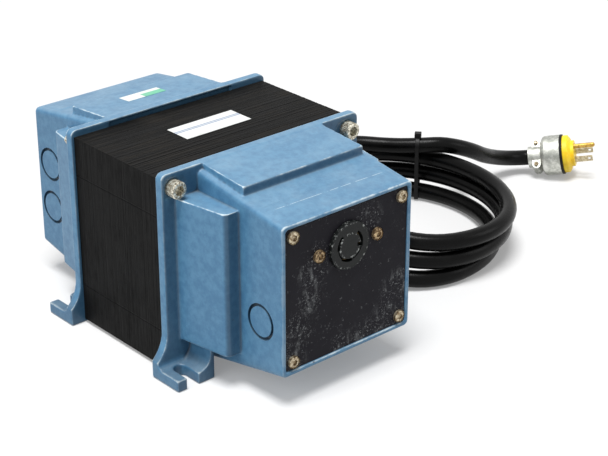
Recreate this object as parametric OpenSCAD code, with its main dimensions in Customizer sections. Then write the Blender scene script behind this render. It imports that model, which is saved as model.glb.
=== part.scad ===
// Power conditioner transformer: a laminated iron core with two cast end bells, an output
// receptacle on the front cover plate and a power cord that leaves the rear bell.
// Millimetres, +Z up. Origin: on the floor, below the middle of the core. The front faces -Y.

/* [Iron core] */
// Width of one outer limb, half the centre leg and the whole yoke height
limb_w = 33; // [28:0.5:35]
// Height of the window that the windings fill
window_h = 99; // [96:0.5:104]
// Length of the stack of laminations
stack_l = 111.4; // [95:0.2:130]
// Number of alternating packets of laminations
packets = 5; // [3:1:9]
// Film of varnish between two packets
packet_film = 0.2; // [0.1:0.05:0.4]
// Gap where the ends of the E legs meet the I pieces
joint_gap = 0.1; // [0.05:0.05:0.2]
// Height of the stack's underside above the floor
stack_clear = 3; // [1:0.5:6]

/* [Windings] */
// Thickness of the bobbin's tube
bobbin_t = 2.5; // [1.5:0.1:3]
// Thickness of the bobbin's cheeks
cheek_t = 2; // [1.5:0.1:3]
// Share of the copper's build that is the primary winding
primary_part = 0.5; // [0.42:0.01:0.58]
// Room left in the window outside the windings
window_spare = 3.4; // [2.8:0.1:5]
// Thickness of each sheet of layer insulation
insulation_t = 1; // [0.5:0.1:1.2]
// Thickness of the shield foil between the windings
foil_t = 0.6; // [0.3:0.1:0.8]
// Thickness of the outer wrap
wrap_t = 1.5; // [0.8:0.1:1.8]
// Gap between one layer and the next
layer_gap = 0.1; // [0.05:0.05:0.15]

/* [Bell flange] */
// Thickness of the flange that clamps the stack
flange_t = 8; // [7:0.5:10]
// How far the flange stands out beside the stack
flange_over_x = 2.5; // [1.5:0.1:5]
// How far the flange stands up above the stack
flange_over_z = 5.5; // [4.5:0.1:6.5]
// Radius of the flange's upper corners
flange_corner_r = 5; // [2:0.5:8]
// How far each foot flares out beyond the flange's side
flare_w = 10.5; // [8:0.5:14]
// Height where the flare starts
flare_z = 38; // [34:1:46]
// Height where the flare ends and the foot's side turns upright
flare_end_z = 15; // [12:0.5:18]
// Depth of the relief in the flange's back, above the stack
relief_d = 3; // [2:0.5:4]
// Distance of the relief's side in from the box's side
relief_in = 3; // [0:0.5:14]
// Metal left above the relief
relief_edge = 2.2; // [1.5:0.1:3]

/* [Bell feet] */
// How far a foot reaches in under the stack
foot_under = 24; // [19:0.5:29]
// Length of a foot, from the stack outward
foot_l = 34; // [28:0.5:42]
// Thickness of a foot
foot_t = 10; // [8:0.5:12]
// Thickness of the upright web on the inner edge of a foot
foot_web_t = 4; // [3:0.5:6]
// Radius of the gusset between web and foot
foot_gusset_r = 12; // [8:0.5:14]
// Radius of the fillet between foot and flange
foot_fillet_r = 5; // [3:0.5:7]
// Distance of a mounting slot in from the foot's outer side
slot_in = 15; // [11:0.5:17]
// Width of a mounting slot
slot_w = 11.5; // [9:0.5:13]
// Distance from the stack to the slot's closed end
slot_end = 12; // [10:0.5:16]

/* [Bell box] */
// Distance of the wiring box's side in from the core's side
box_in = 32; // [29:0.5:35]
// Depth of the box, from the stack to its rim
box_d = 107.3; // [100:0.1:125]
// Distance of the box's roof below the flange's top, at the stack
roof_drop = 3.7; // [2.5:0.1:5.5]
// Fall of the roof from the stack to the rim
roof_fall = 15.5; // [12:0.5:18]
// Height of the box's floor at the stack
floor_back_z = 5.2; // [4:0.2:7]
// Rise of the floor from the stack to the rim
floor_rise = 22; // [19:0.5:25]
// Radius of the box's long edges
box_edge_r = 4; // [2:0.5:5]
// Wall of the casting
wall = 6; // [5:0.25:6.5]
// Extra thickness of the web behind the flange
web_over = 1.5; // [1:0.25:3]

/* [Bell coil bulge] */
// Distance of the bulge's side in from the flange's side
bulge_in = 12.5; // [9.5:0.5:15.5]
// Draft of the bulge's side
bulge_draft = 8.5; // [5:0.5:13]
// Depth of the bulge, from the stack
bulge_d = 57.5; // [52:0.5:64]
// Distance from the bulge's floor down from the window
bulge_below = 7; // [6:0.5:8]
// Distance from the upper tie bolts down to the bulge's top
bulge_drop = 9; // [9:0.1:11]
// Radius of the bulge's upright edges
bulge_r = 5; // [3:0.5:8]

/* [Bell hump and pad] */
// Distance of the hump's side in from the box's side
hump_in = 5.5; // [3:0.5:11]
// Length of the hump, from the stack
hump_l = 57; // [50:0.5:64]
// Fall of the hump's top along its length
hump_fall = 4.5; // [3:0.5:6]
// Distance of the pad's side in from the box's side
pad_in = 7; // [5:1:17]
// Length of the pad
pad_l = 25; // [18:1:27]
// Height of the pad
pad_h = 0.6; // [0.4:0.1:1.2]
// Distance from the rim to the pad
pad_rim = 4.3; // [3:0.1:8]

/* [Knockouts] */
// Mean radius of a knockout's ring groove
knockout_r = 13.8; // [12:0.2:14]
// Width of the groove
knockout_w = 1.2; // [0.8:0.1:1.6]
// Depth of the groove
knockout_cut = 3; // [2:0.25:3.5]
// Distance from the rim to the single knockout
knockout_single = 25.8; // [23:0.2:30]
// Distance from the rim to the pair of knockouts
knockout_pair = 19.3; // [19:0.1:26]
// Height of the lower knockouts
knockout_z = 66.6; // [62:0.2:70]
// Distance from the lower to the upper knockout
knockout_pitch = 40.4; // [34:0.2:44]

/* [Tie bolts] */
// Radius of a tie bolt's shank
bolt_r = 4.75; // [4:0.25:5]
// Clearance round a tie bolt in the bells
bolt_clear = 0.5; // [0.25:0.05:0.7]
// Distance of the upper tie bolts in from the core's side
bolt_top_in = 9; // [8.5:0.1:10.2]
// Distance from the flange's top down to the upper tie bolts
bolt_top_drop = 13; // [12.5:0.1:13.5]
// Radius of a socket head
socket_r = 7.15; // [6.5:0.05:7.5]
// Height of a socket head
socket_h = 9.5; // [8:0.5:10]
// Width across flats of a tie bolt's nut and of a lower bolt's head
nut_af = 14.3; // [13:0.1:14.3]
// Height of a nut
nut_h = 8.3; // [7:0.1:9]
// Height of a lower bolt's head
hex_head_h = 6.4; // [5:0.1:7]
// Radius of a washer
washer_r = 8.2; // [7.5:0.1:8.3]
// Thickness of a washer
washer_t = 1.6; // [1:0.1:2]
// Depth of the spot face round an upper bolt
spot_d = 2; // [1.5:0.25:3]
// Depth of the recess round the spot face
recess_d = 1; // [0.5:0.25:1.25]
// Distance of the lower tie bolts out from the centre leg
bolt_low_out = 7; // [0:0.5:12]
// Height of the lower tie bolts above the stack's underside
bolt_low_up = 21; // [20.5:0.5:23]
// Length of bolt that stands out of its nut
bolt_stick = 2.5; // [1:0.5:4]
// Wall of the insulating sleeve on a tie bolt
sleeve_t = 0.5; // [0.3:0.05:0.6]
// Gap on each side of the insulating sleeve
sleeve_gap = 0.1; // [0.05:0.05:0.15]

/* [Cover plates] */
// Thickness of a cover plate
plate_t = 3; // [2:0.25:3.5]
// Depth of the plate's face below the rim
plate_sunk = 1.2; // [0.5:0.1:2]
// Rim left round the plate's pocket
rim_w = 3.8; // [3:0.1:4.2]
// Gap round a cover plate
plate_gap = 0.3; // [0.1:0.05:0.5]
// Distance of a corner screw from the plate's edges
screw_inset = 6.8; // [6.2:0.1:8]
// Radius of a cover screw's head
screw_head_r = 5.2; // [4.5:0.1:5.6]
// Height of a cover screw's head
screw_head_h = 3; // [2:0.25:3.5]
// Radius of a cover screw's shank
screw_r = 2.4; // [2:0.1:2.7]
// Length of a cover screw's shank
screw_l = 18; // [12:1:20]
// Radius of the boss that a cover screw enters
boss_r = 6; // [5:0.25:6.5]
// Length of that boss
boss_l = 22; // [21:1:26]

/* [Receptacle] */
// Distance of the receptacle's centre below the rim's top
outlet_drop = 34.7; // [33.3:0.2:38.3]
// Radius of the receptacle's face
face_r = 19.5; // [18:0.25:20.5]
// How far the face stands out of the plate
face_out = 3; // [2:0.25:4]
// Radius of the receptacle's body behind the plate
outlet_body_r = 21; // [21:0.25:21.5]
// Length of that body
outlet_body_l = 34; // [26:1:38]
// Half distance between the receptacle's mounting screws
outlet_screw_x = 30.15; // [29.5:0.05:32]
// Thickness of the mounting strap
strap_t = 1.5; // [1:0.1:2]
// Radius of the circle on which the contact slots lie
contact_r = 12; // [11:0.25:12.5]
// Width of a contact slot
contact_w = 2.6; // [2:0.1:3]
// Thickness of a contact
contact_t = 1.2; // [0.8:0.1:1.4]
// Depth of the contacts below the face
contact_deep = 3; // [2:0.25:4]

/* [Capacitor] */
// Radius of the capacitor's can
can_r = 20; // [16:0.5:21]
// Length of the can
can_l = 76; // [60:1:80]
// Distance of the can's axis below the rim's top
can_drop = 46.3; // [44.3:0.5:48.3]
// Distance from the can to the rear cover plate
can_off = 7; // [5:0.5:9]
// Width of the strap round the can
can_strap_w = 20; // [14:1:30]
// Thickness of that strap
can_strap_t = 1.4; // [1:0.1:1.6]

/* [Cord gland] */
// Radius of the gland's threaded nipple
nipple_r = 11.5; // [11:0.1:12]
// Width across flats of the gland's hexagons
gland_af = 27; // [26:0.5:28]
// Length of the hexagon outside the wall
gland_hex_l = 7; // [5:0.5:9]
// Length of the gland's cap
gland_cap_l = 20; // [16:1:24]
// Thickness of the locknut
locknut_t = 4; // [3:0.25:5]
// How far the rubber bushing stands out of the cap
bushing_out = 5; // [3:0.5:8]

/* [Cord and plug] */
// Diameter of the cord
cord_d = 15.5; // [15:0.1:15.5]
// Diameter of the plug's metal sleeve
plug_d = 40; // [36:0.5:40]
// Length of the metal sleeve with its clamp
plug_sleeve_l = 33; // [30:0.2:42]
// Thickness of the black ring
plug_ring_t = 2.4; // [1.6:0.2:4]
// Length of the plug's yellow body
plug_body_l = 7.5; // [6:0.5:12]
// Length of the raised face that carries the blades
plug_face_l = 3.5; // [2:0.5:6]
// Length of the flat blades
blade_l = 17.5; // [16:0.5:19]
// Width of a flat blade
blade_w = 6.35; // [6:0.05:6.5]
// Thickness of a flat blade
blade_t = 1.5; // [1.3:0.1:1.7]
// Distance between the two flat blades
blade_pitch = 12.7; // [12:0.1:13.4]
// Diameter of the round earth pin
pin_d = 4.8; // [4.5:0.1:5]
// Length of the round earth pin
pin_l = 21; // [19:0.5:23]

/* [Labels] */
// Half width of the label on top of the core
label_x = 33.3; // [20:0.1:50]
// Length of that label along the stack
label_y = 26.5; // [15:0.5:60]
// Thickness of a label
label_t = 0.3; // [0.2:0.05:0.5]
// Width of the label on the rear bell
tag_x = 39.3; // [20:0.1:50]
// Length of the label on the rear bell
tag_y = 14; // [8:0.5:20]

/* [Fits] */
// Gap between a screw and the thread it holds in
thread_gap = 0.05; // [0.02:0.01:0.08]
// Gap round a piece that passes through another
pass_gap = 0.3; // [0.2:0.05:0.4]

/* [Hidden] */
$fn = 48;
over = 1; // overrun of a cut
thin = 0.1; // thickness of the slabs that the box is blended between

blue = [0.45, 0.62, 0.78];
iron_black = [0.11, 0.11, 0.11];
plate_black = [0.13, 0.13, 0.14];
zinc = [0.72, 0.72, 0.7];
yellow_zinc = [0.66, 0.52, 0.3];
rubber_black = [0.08, 0.08, 0.08];

// Core
core_half = 3 * limb_w;
core_h = window_h + 2 * limb_w;
window_z0 = stack_clear + limb_w;
window_z1 = window_z0 + window_h;
core_top = stack_clear + core_h;
packet_l = stack_l / packets;

// Windings, as offsets from the centre leg
leg_clear = 0.4;
bobbin_z_clear = 0.5;
layers_t = leg_clear + bobbin_t + 2 * insulation_t + foil_t + wrap_t + 6 * layer_gap;
copper_t = limb_w - window_spare - layers_t;
o_bobbin = leg_clear + bobbin_t;
o_primary = o_bobbin + layer_gap + copper_t * primary_part;
o_sheet1 = o_primary + layer_gap + insulation_t;
o_foil = o_sheet1 + layer_gap + foil_t;
o_sheet2 = o_foil + layer_gap + insulation_t;
o_secondary = o_sheet2 + layer_gap + copper_t * (1 - primary_part);
o_wrap = o_secondary + layer_gap + wrap_t;
bobbin_z0 = window_z0 + bobbin_z_clear;
bobbin_z1 = window_z1 - bobbin_z_clear;

// Bell
flange_x = core_half + flange_over_x;
foot_x = flange_x + flare_w;
flange_top = core_top + flange_over_z;
foot_in_x = core_half - foot_under;
slot_x = foot_x - slot_in;
box_x = core_half - box_in;
relief_x = box_x - relief_in;
bulge_back_x = flange_x - bulge_in;
bulge_front_x = bulge_back_x - bulge_draft;
hump_x = box_x - hump_in;
pad_x = box_x - pad_in;
bolt_top_x = core_half - bolt_top_in;
bolt_top_z = flange_top - bolt_top_drop;
bolt_low_x = limb_w + bolt_low_out;
bolt_low_z = stack_clear + bolt_low_up;
flare_h = flare_z - flare_end_z;
flare_r = (flare_w * flare_w + flare_h * flare_h) / (2 * flare_w);
flare_angle = asin(flare_h / flare_r);
web_t = flange_t + web_over;
bulge_z0 = window_z0 - bulge_below;
bulge_z1 = bolt_top_z - bulge_drop;
opening_lip = 1;
opening_in = 11;
opening_x = bulge_back_x - opening_in;
bulge_slope = (bulge_back_x - bulge_front_x) / (bulge_d - flange_t);
function roof_z(d) = flange_top - roof_drop - roof_fall * d / box_d;
function floor_z(d) = floor_back_z + floor_rise * d / box_d;
function bulge_x(d) = bulge_back_x - bulge_slope * (d - flange_t);
function hump_z(d) = flange_top - hump_fall * d / hump_l;
hump_wall = 6;
hump_angle = atan(hump_fall / hump_l);

// Cover plates
plate_face = box_d - plate_sunk;
plate_back = plate_face - plate_t;
pocket_x = box_x - rim_w;
pocket_z0 = floor_z(box_d) + rim_w;
pocket_z1 = roof_z(box_d) - rim_w;
pocket_r = 2;
plate_x = pocket_x - plate_gap;
plate_z0 = pocket_z0 + plate_gap;
plate_z1 = pocket_z1 - plate_gap;
screw_x = plate_x - screw_inset;
screw_z0 = plate_z0 + screw_inset;
screw_z1 = plate_z1 - screw_inset;

// Tie bolts
spot_r = washer_r + 0.2 * bolt_clear;
recess_in = spot_r + 3.6;
recess_r = 6;
bolt_hole_r = bolt_r + bolt_clear;
core_hole_r = bolt_r + sleeve_t + 2 * sleeve_gap;
seat_top = flange_t - spot_d;
nut_r = nut_af / sqrt(3);

// Receptacle
outlet_z = roof_z(box_d) - outlet_drop;
strap_back = plate_back - strap_t;
outlet_back = strap_back - outlet_body_l;
terminal_r = 13;
terminal_head_r = 3.6;
terminal_head_h = 3;
terminal_shank_r = 1.8;
terminal_angle_shares = [90, 210, 330];
slot_angles = [[128, 186], [228, 280], [-18, 52]];
groove_angles = [[187, 227], [-78, -19]];
notch_angles = [-18, 2];
groove_w = 1;
groove_d = 1.2;
wire_r = 1.7;
wire_bend = 6;

// Wiring in the rear box
can_d = plate_back - can_off - can_r;
can_z = roof_z(box_d) - can_drop;
can_x0 = -35;
can_foot = 12;
can_gap = 0.2;
can_screw = can_r + can_gap + can_strap_t + can_foot / 2;
terminal_post_r = 2.5;
terminal_post_h = 6;
terminal_post_off = 8;
cap_r = 6;
cap_h = 20;
cap_under = 26;
cap_out = 16.4;
cap_z = can_z - can_r - cap_under;
cap_d = o_wrap + cap_out;
cap_xs = [-20, 15];
cap_wire_off = 2.9;
can_lead_under = 2;
can_lead_step = 4;
lug_z = 50;
lug_lead_in = 20;
lug_lead_off = 12;
lug_d = 60;
lug_r = 5;
lug_t = 1.5;

// Gland, on the side wall of the rear box
gland_y = stack_l / 2 + box_d - knockout_single;
nipple_hole_r = nipple_r + thread_gap;
nipple_in = wall + locknut_t + 3;
gland_neck_l = 6;
gland_bore = cord_d / 2 + pass_gap;
gland_hex_r = gland_af / sqrt(3);
gland_cap_r = gland_af / 2;
gland_cap_end_r = 11.5;
bushing_r = 9.6;
bushing_neck_r = 9;
bushing_hole_r = cord_d / 2 + thread_gap;
jacket_in = nipple_in + 4;

// Cord route: the coil's middle and depth, and for its levels, lowest first, centre, reach and height.
cord_r = cord_d / 2;
coil_cx = [195.5, 210, 217, 217];
coil_cy = 5;
coil_front = [105, 110, 112, 112];
coil_back = 105;
coil_right = [107, 100, 93, 93];
coil_left = [82, 91, 94, 84];
coil_z = [8, 24.2, 40.4, 56.6];
coil_start = -75;
coil_end = 925;
climb_from = 110;
climb_over = 90;
coil_step = 15;
lead_points = [[105, 137.2, 66.6], [120, 137, 66.4], [135, 136.2, 63.4], [150, 134.2, 55],
    [165, 130.8, 40.5], [180, 126, 24.5], [195, 120, 13], [208, 114, 9]];
tail_points = [[148, 64.5, 56.8], [159, 81, 57], [172, 94, 57.2], [189.5, 103.5, 57.4],
    [213, 107.5, 57.3], [236, 102.5, 56.4], [254, 91, 55], [267, 76.5, 54.4], [278, 61, 55.4],
    [290.5, 46, 57], [305.5, 34, 57.3], [322, 26.2, 52.6], [340, 23.8, 44.4], [357, 26.3, 35],
    [374, 30.2, 26.9], [391, 31.6, 20.5], [406.3, 28.9, 16.8]];
tail_end = [420.6, 19.8, 16.4];
tail_in = 20;
tail_sides = 12;
coil_sides = 6;
gap_skip = 20;

// Cable tie round the four strands
tie_at = [291, 50.6];
tie_turn = 40;
tie_w = 4;
tie_t = 1.2;
tie_gap = 0.5;
tie_spots = [[-3.6, 56.7], [9.2, 40.4], [8.3, 24.2], [0.8, 8]];
tie_low = 0.05;
tie_reach = 80;
tie_head = 6.4;

// Plug
plug_tilt = 79;
plug_turn = -54;
plug_roll = 19;
clamp_roll = -64;
plug_r = plug_d / 2;
clamp_l = 13;
clamp_r = 10.7;
clamp_w = 15;
clamp_ear = 9;
clamp_split = 0.6;
clamp_screw_x = 11.5;
clamp_screw_r = 2;
clamp_head_r = 3.8;
clamp_head_h = 2.5;
sleeve_neck_r = 12.5;
sleeve_neck_l = 14;
shoulder_l = 3.6;
sleeve_wall = 2.5;
plug_face_r = 13;
pin_off = 8.9;
blade_off = 3;
blade_hole_r = 1.6;

function unit(v) = v / norm(v);
function smooth(t) = t <= 0 ? 0 : t >= 1 ? 1 : t * t * (3 - 2 * t);
function turn_arc(a, b, c, r, n = 6) =
    let(u = unit(a - b), v = unit(c - b), w = acos(u * v), m = b + unit(u + v) * r / sin(w / 2),
        p = unit(b + u * r / tan(w / 2) - m), q = unit(b + v * r / tan(w / 2) - m))
    [for (i = [0:n]) m + r * (sin((1 - i / n) * (180 - w)) * p + sin(i / n * (180 - w)) * q)
        / sin(180 - w)];
function rounded(path, radii) = [for (i = [0:len(path) - 1]) each radii[i] > 0
    ? turn_arc(path[(i + len(path) - 1) % len(path)], path[i], path[(i + 1) % len(path)],
        radii[i]) : [path[i]]];
function bent(path, r) = [for (i = [0:len(path) - 1]) each i > 0 && i < len(path) - 1
    ? turn_arc(path[i - 1], path[i], path[i + 1], r, 3) : [path[i]]];
function both_sides(half) = concat(half, [for (i = [len(half) - 1:-1:0]) [-half[i][0], half[i][1]]]);

// Tube swept along points, with its rings kept level
function heading(p, i) = unit(unit(p[i + 1] - p[i]) + unit(p[i] - p[i - 1]));
function ring(c, t, r, n, ref) = let(side = unit(cross(t, ref)), up = cross(side, t))
    [for (k = [0:n - 1]) c + r * (cos(360 * k / n) * side + sin(360 * k / n) * up)];
module tube(p, r, n, t0, t1, ref = [0, 0, 1]) {
    m = len(p);
    rings = [for (i = [0:m - 1]) each ring(p[i],
        i == 0 ? t0 : i == m - 1 ? t1 : heading(p, i), r, n, ref)];
    sides = [for (i = [0:m - 2], k = [0:n - 1]) let(a = i * n + k, b = i * n + (k + 1) % n)
        each [[a, a + n, b + n], [a, b + n, b]]];
    polyhedron(rings, concat([[for (k = [0:n - 1]) k]], sides,
        [[for (k = [n - 1:-1:0]) (m - 1) * n + k]]), 12);
}

function coil_level(a) = let(n = max(0, min(2, floor((a - climb_from) / 360))))
    n + smooth((a - climb_from - 360 * n) / climb_over);
function level_value(list, v) = let(i = min(2, floor(v))) list[i] + (v - i) * (list[i + 1] - list[i]);
function coil_point(a) = let(v = coil_level(a), c = cos(a),
    reach = level_value(c >= 0 ? coil_right : coil_left, v))
    [level_value(coil_cx, v) + reach * c,
     coil_cy - (sin(a) >= 0 ? level_value(coil_front, v) : coil_back) * sin(a), level_value(coil_z, v)];
coil_path = [for (a = [coil_start:coil_step:coil_end + coil_step / 2]) coil_point(min(a, coil_end))];
lead_path = concat([[box_x - jacket_in, gland_y, knockout_z]], lead_points, [coil_point(coil_start)]);
plug_axis = [sin(plug_tilt) * cos(plug_turn), sin(plug_tilt) * sin(plug_turn), cos(plug_tilt)];
tail_path = concat([coil_point(coil_end)], tail_points, [tail_end, tail_end + tail_in * plug_axis]);
function along(a) = unit(coil_point(a + 1) - coil_point(a - 1));

// Least gaps of the cord to itself, measured on points 5 degrees apart
function to_line(p, a, b) = let(t = max(0, min(1, (p - a) * (b - a) / ((b - a) * (b - a)))))
    norm(p - a - t * (b - a));
function least(p, q, skip) = min([for (i = [0:len(p) - 1], j = [0:len(q) - 2])
    if (skip < 0 || abs(i - j) > skip) to_line(p[i], q[j], q[j + 1])]);
fine_coil = [for (a = [coil_start:5:coil_end]) coil_point(a)];
function length_of(p) = len(p) < 2 ? 0 : norm(p[1] - p[0]) + length_of([for (i = [1:len(p) - 1]) p[i]]);
echo(coil_gap = least(fine_coil, fine_coil, gap_skip) - cord_d);
echo(cord_length = length_of(lead_path) + length_of(fine_coil) + length_of(tail_path));

module at_front() { translate([0, -stack_l / 2, 0]) children(); }
module at_rear() { rotate([0, 0, 180]) translate([0, -stack_l / 2, 0]) children(); }
module both_x() { children(); mirror([1, 0, 0]) children(); }
// A shape in X and Z, drawn out toward -Y from the stack's face
module outward(d0, d1) { translate([0, -d0, 0]) rotate([90, 0, 0]) linear_extrude(d1 - d0) children(); }
// A shape in Y and Z, drawn out along X
module across(w) { rotate([90, 0, 90]) linear_extrude(w, center = true) children(); }
// A round bar toward -Y
module rod_out(x, z, d0, d1, r) { translate([x, -d0, z]) rotate([90, 0, 0]) cylinder(d1 - d0, r = r); }
module rod_x(x0, x1, y, z, r) { translate([x0, y, z]) rotate([0, 90, 0]) cylinder(x1 - x0, r = r); }
module hex_out(x, z, d0, d1, r) { translate([x, -d0, z]) rotate([90, 0, 0]) cylinder(d1 - d0, r = r, $fn = 6); }
module cover_corners() { for (x = [-screw_x, screw_x], z = [screw_z0, screw_z1]) translate([x, 0, z]) children(); }

// Bell casting, drawn as the front one, with the stack's face at y = 0

module flange_outline() {
    half = concat(
        rounded([[0, flange_top], [flange_x, flange_top], [flange_x, flare_z]], [0, flange_corner_r, 0]),
        [for (i = [1:8]) let(a = flare_angle * i / 8)
            [flange_x + flare_r * (1 - cos(a)), flare_z - flare_r * sin(a)]],
        [[foot_x, 0], [foot_in_x, 0], [foot_in_x, stack_clear], [0, stack_clear]]);
    polygon(both_sides(half));
}

module foot_solid() {
    web_x = foot_in_x + foot_web_t;
    top = bulge_z0 + wall / 2;
    outward(0, foot_l) polygon(rounded([[foot_in_x, 0], [foot_x, 0], [foot_x, foot_t],
        [web_x, foot_t], [web_x, top], [foot_in_x, top]], [0, 0, 0, foot_gusset_r, 0, 0]));
    translate([(web_x + foot_x) / 2, 0, 0]) across(foot_x - web_x) difference() {
        translate([-flange_t - foot_fillet_r, foot_t - over]) square([foot_fillet_r + over, foot_fillet_r + over]);
        translate([-flange_t - foot_fillet_r, foot_t + foot_fillet_r]) circle(foot_fillet_r);
    }
}

module box_blend(side, low, d0, d1, r) {
    hull() for (d = [d0 + thin, d1]) outward(d - thin, d) polygon(let(x = box_x - side)
        rounded([[-x, floor_z(d) + low], [x, floor_z(d) + low], [x, roof_z(d) - low],
            [-x, roof_z(d) - low]], [r, r, r, r]));
}

module bulge_block(inset, low, d0, d1, r) {
    x0 = bulge_x(d0) - inset;
    x1 = bulge_x(d1) - inset;
    translate([0, 0, bulge_z0 + low]) linear_extrude(bulge_z1 - bulge_z0 - 2 * low)
        polygon(rounded([[-x0, -d0], [-x1, -d1], [x1, -d1], [x0, -d0]], [0, r, r, 0]));
}

module bell_shell() {
    difference() {
        union() {
            outward(0, flange_t) flange_outline();
            both_x() foot_solid();
            box_blend(0, 0, flange_t / 2, box_d, box_edge_r);
            bulge_block(0, 0, flange_t / 2, bulge_d, bulge_r);
            across(2 * hump_x) polygon([[-flange_t / 2, hump_z(flange_t / 2)],
                [-hump_l, hump_z(hump_l)], [-hump_l, roof_z(hump_l) - wall / 2],
                [-flange_t / 2, roof_z(0) - wall]]);
            across(2 * pad_x) polygon(let(a = box_d - pad_rim - pad_l, b = box_d - pad_rim)
                [[-a, roof_z(a) + pad_h], [-b, roof_z(b) + pad_h], [-b, roof_z(b) - wall / 2],
                 [-a, roof_z(a) - wall / 2]]);
        }
        box_blend(wall, wall, web_t, box_d - plate_sunk, box_edge_r / 2);
        bulge_block(wall, wall, web_t, bulge_d - wall, bulge_r / 2);
        across(2 * (hump_x - hump_wall)) polygon([[-web_t, hump_z(web_t) - hump_wall],
            [-hump_l + hump_wall, hump_z(hump_l - hump_wall) - hump_wall],
            [-hump_l + hump_wall, roof_z(hump_l) - 2 * wall], [-web_t, roof_z(0) - 2 * wall]]);
        outward(-over, web_t + over) translate([-opening_x, bulge_z0 + wall + opening_lip])
            square([2 * opening_x, bulge_z1 - bulge_z0 - 2 * wall - 2 * opening_lip]);
        outward(-over, relief_d) translate([-relief_x, bulge_z1 - wall - 2 * opening_lip])
            square([2 * relief_x, flange_top - relief_edge - bulge_z1 + wall + 2 * opening_lip]);
    }
    intersection() {
        cover_corners() rod_out(0, 0, plate_back - boss_l, plate_back, boss_r);
        box_blend(wall / 2, wall / 2, web_t, box_d, box_edge_r);
    }
}

module knockout_groove(side, d, z) {
    translate([side * (box_x + over), -d, z]) rotate([0, -90 * side, 0]) rotate_extrude()
        translate([knockout_r - knockout_w / 2, 0]) square([knockout_w, over + knockout_cut]);
}

module bell(has_gland) {
    difference() {
        bell_shell();
        outward(plate_back, box_d + over) polygon(rounded([[-pocket_x, pocket_z0],
            [pocket_x, pocket_z0], [pocket_x, pocket_z1], [-pocket_x, pocket_z1]],
            [pocket_r, pocket_r, pocket_r, pocket_r]));
        cover_corners() rod_out(0, 0, plate_back - screw_l, plate_back + over, screw_r + thread_gap);
        for (x = [-bolt_top_x, bolt_top_x]) {
            rod_out(x, bolt_top_z, -over, flange_t + over, bolt_hole_r);
            rod_out(x, bolt_top_z, seat_top, flange_t + over, spot_r);
        }
        both_x() outward(flange_t - recess_d, flange_t + over) polygon(let(
            x0 = bolt_top_x - recess_in, x1 = bolt_top_x + spot_r + recess_d / 4,
            z0 = bolt_top_z - spot_r + recess_d / 2, z1 = bolt_top_z + spot_r + recess_d / 4)
            rounded([[x0, z0], [x1, z0], [x1, z1], [x0, z1]], [recess_d, recess_d, recess_r, recess_r]));
        for (x = [-bolt_low_x, bolt_low_x]) rod_out(x, bolt_low_z, -over, web_t + over, bolt_hole_r);
        for (x = [-slot_x, slot_x]) {
            rod = slot_end + slot_w / 2;
            translate([x, -rod, -over]) cylinder(foot_t + 2 * over, d = slot_w);
            translate([x - slot_w / 2, -foot_l - over, -over])
                cube([slot_w, foot_l + over - rod, foot_t + 2 * over]);
        }
        knockout_groove(1, box_d - knockout_pair, knockout_z);
        knockout_groove(1, box_d - knockout_pair, knockout_z + knockout_pitch);
        if (!has_gland) knockout_groove(-1, box_d - knockout_single, knockout_z);
        if (has_gland) {
            rod_x(-box_x - over, -box_x + wall + over, knockout_single - box_d, knockout_z, nipple_hole_r);
            rod_x(box_x - wall - over, box_x - wall + lug_t + screw_r, -lug_d, lug_z, screw_r + thread_gap);
        }
    }
}

module front_bell() { color(blue) at_front() bell(false); }
module rear_bell() { color(blue) at_rear() bell(true); }

// Cover plates

module plate_blank() {
    difference() {
        outward(plate_back, plate_face) polygon(rounded([[-plate_x, plate_z0], [plate_x, plate_z0],
            [plate_x, plate_z1], [-plate_x, plate_z1]], [pocket_r, pocket_r, pocket_r, pocket_r]));
        cover_corners() rod_out(0, 0, plate_back - over, plate_face + over, screw_r + pass_gap);
    }
}

module front_cover_plate() {
    color(plate_black) at_front() difference() {
        plate_blank();
        rod_out(0, outlet_z, plate_back - over, plate_face + over, face_r + pass_gap);
        for (x = [-outlet_screw_x, outlet_screw_x])
            rod_out(x, outlet_z, plate_back - over, plate_face + over, screw_r + pass_gap);
    }
}

module rear_cover_plate() {
    color(plate_black) at_rear() difference() {
        plate_blank();
        for (z = [-can_screw, can_screw])
            rod_out(0, can_z + z, plate_back - over, plate_back + plate_t * 2 / 3, terminal_shank_r + thread_gap);
    }
}

// Pan head with a hexagonal recess, its seat at distance d
module pan_screw(d, shank_to, head_r, head_h, shank_r) {
    translate([0, -d, 0]) rotate([90, 0, 0]) difference() {
        union() {
            rotate_extrude() polygon([[0, 0], [head_r, 0], [head_r, head_h * 0.45],
                [head_r * 0.88, head_h * 0.8], [head_r * 0.62, head_h], [0, head_h]]);
            translate([0, 0, shank_to - d]) cylinder(d - shank_to + head_h / 2, r = shank_r);
        }
        translate([0, 0, head_h * 0.45]) cylinder(head_h, r = head_r * 0.5, $fn = 6);
    }
}

module cover_screws() {
    cover_corners() pan_screw(plate_face, plate_back - screw_l, screw_head_r, screw_head_h, screw_r);
}
module front_cover_screws() { color(yellow_zinc) at_front() cover_screws(); }
module rear_cover_screws() { color(yellow_zinc) at_rear() cover_screws(); }

// Core and its bolts

module core_holes(d0, d1) {
    for (x = [-bolt_top_x, bolt_top_x]) rod_out(x, bolt_top_z, d0, d1, core_hole_r);
    for (x = [-bolt_low_x, bolt_low_x]) rod_out(x, bolt_low_z, d0, d1, core_hole_r);
}

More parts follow.
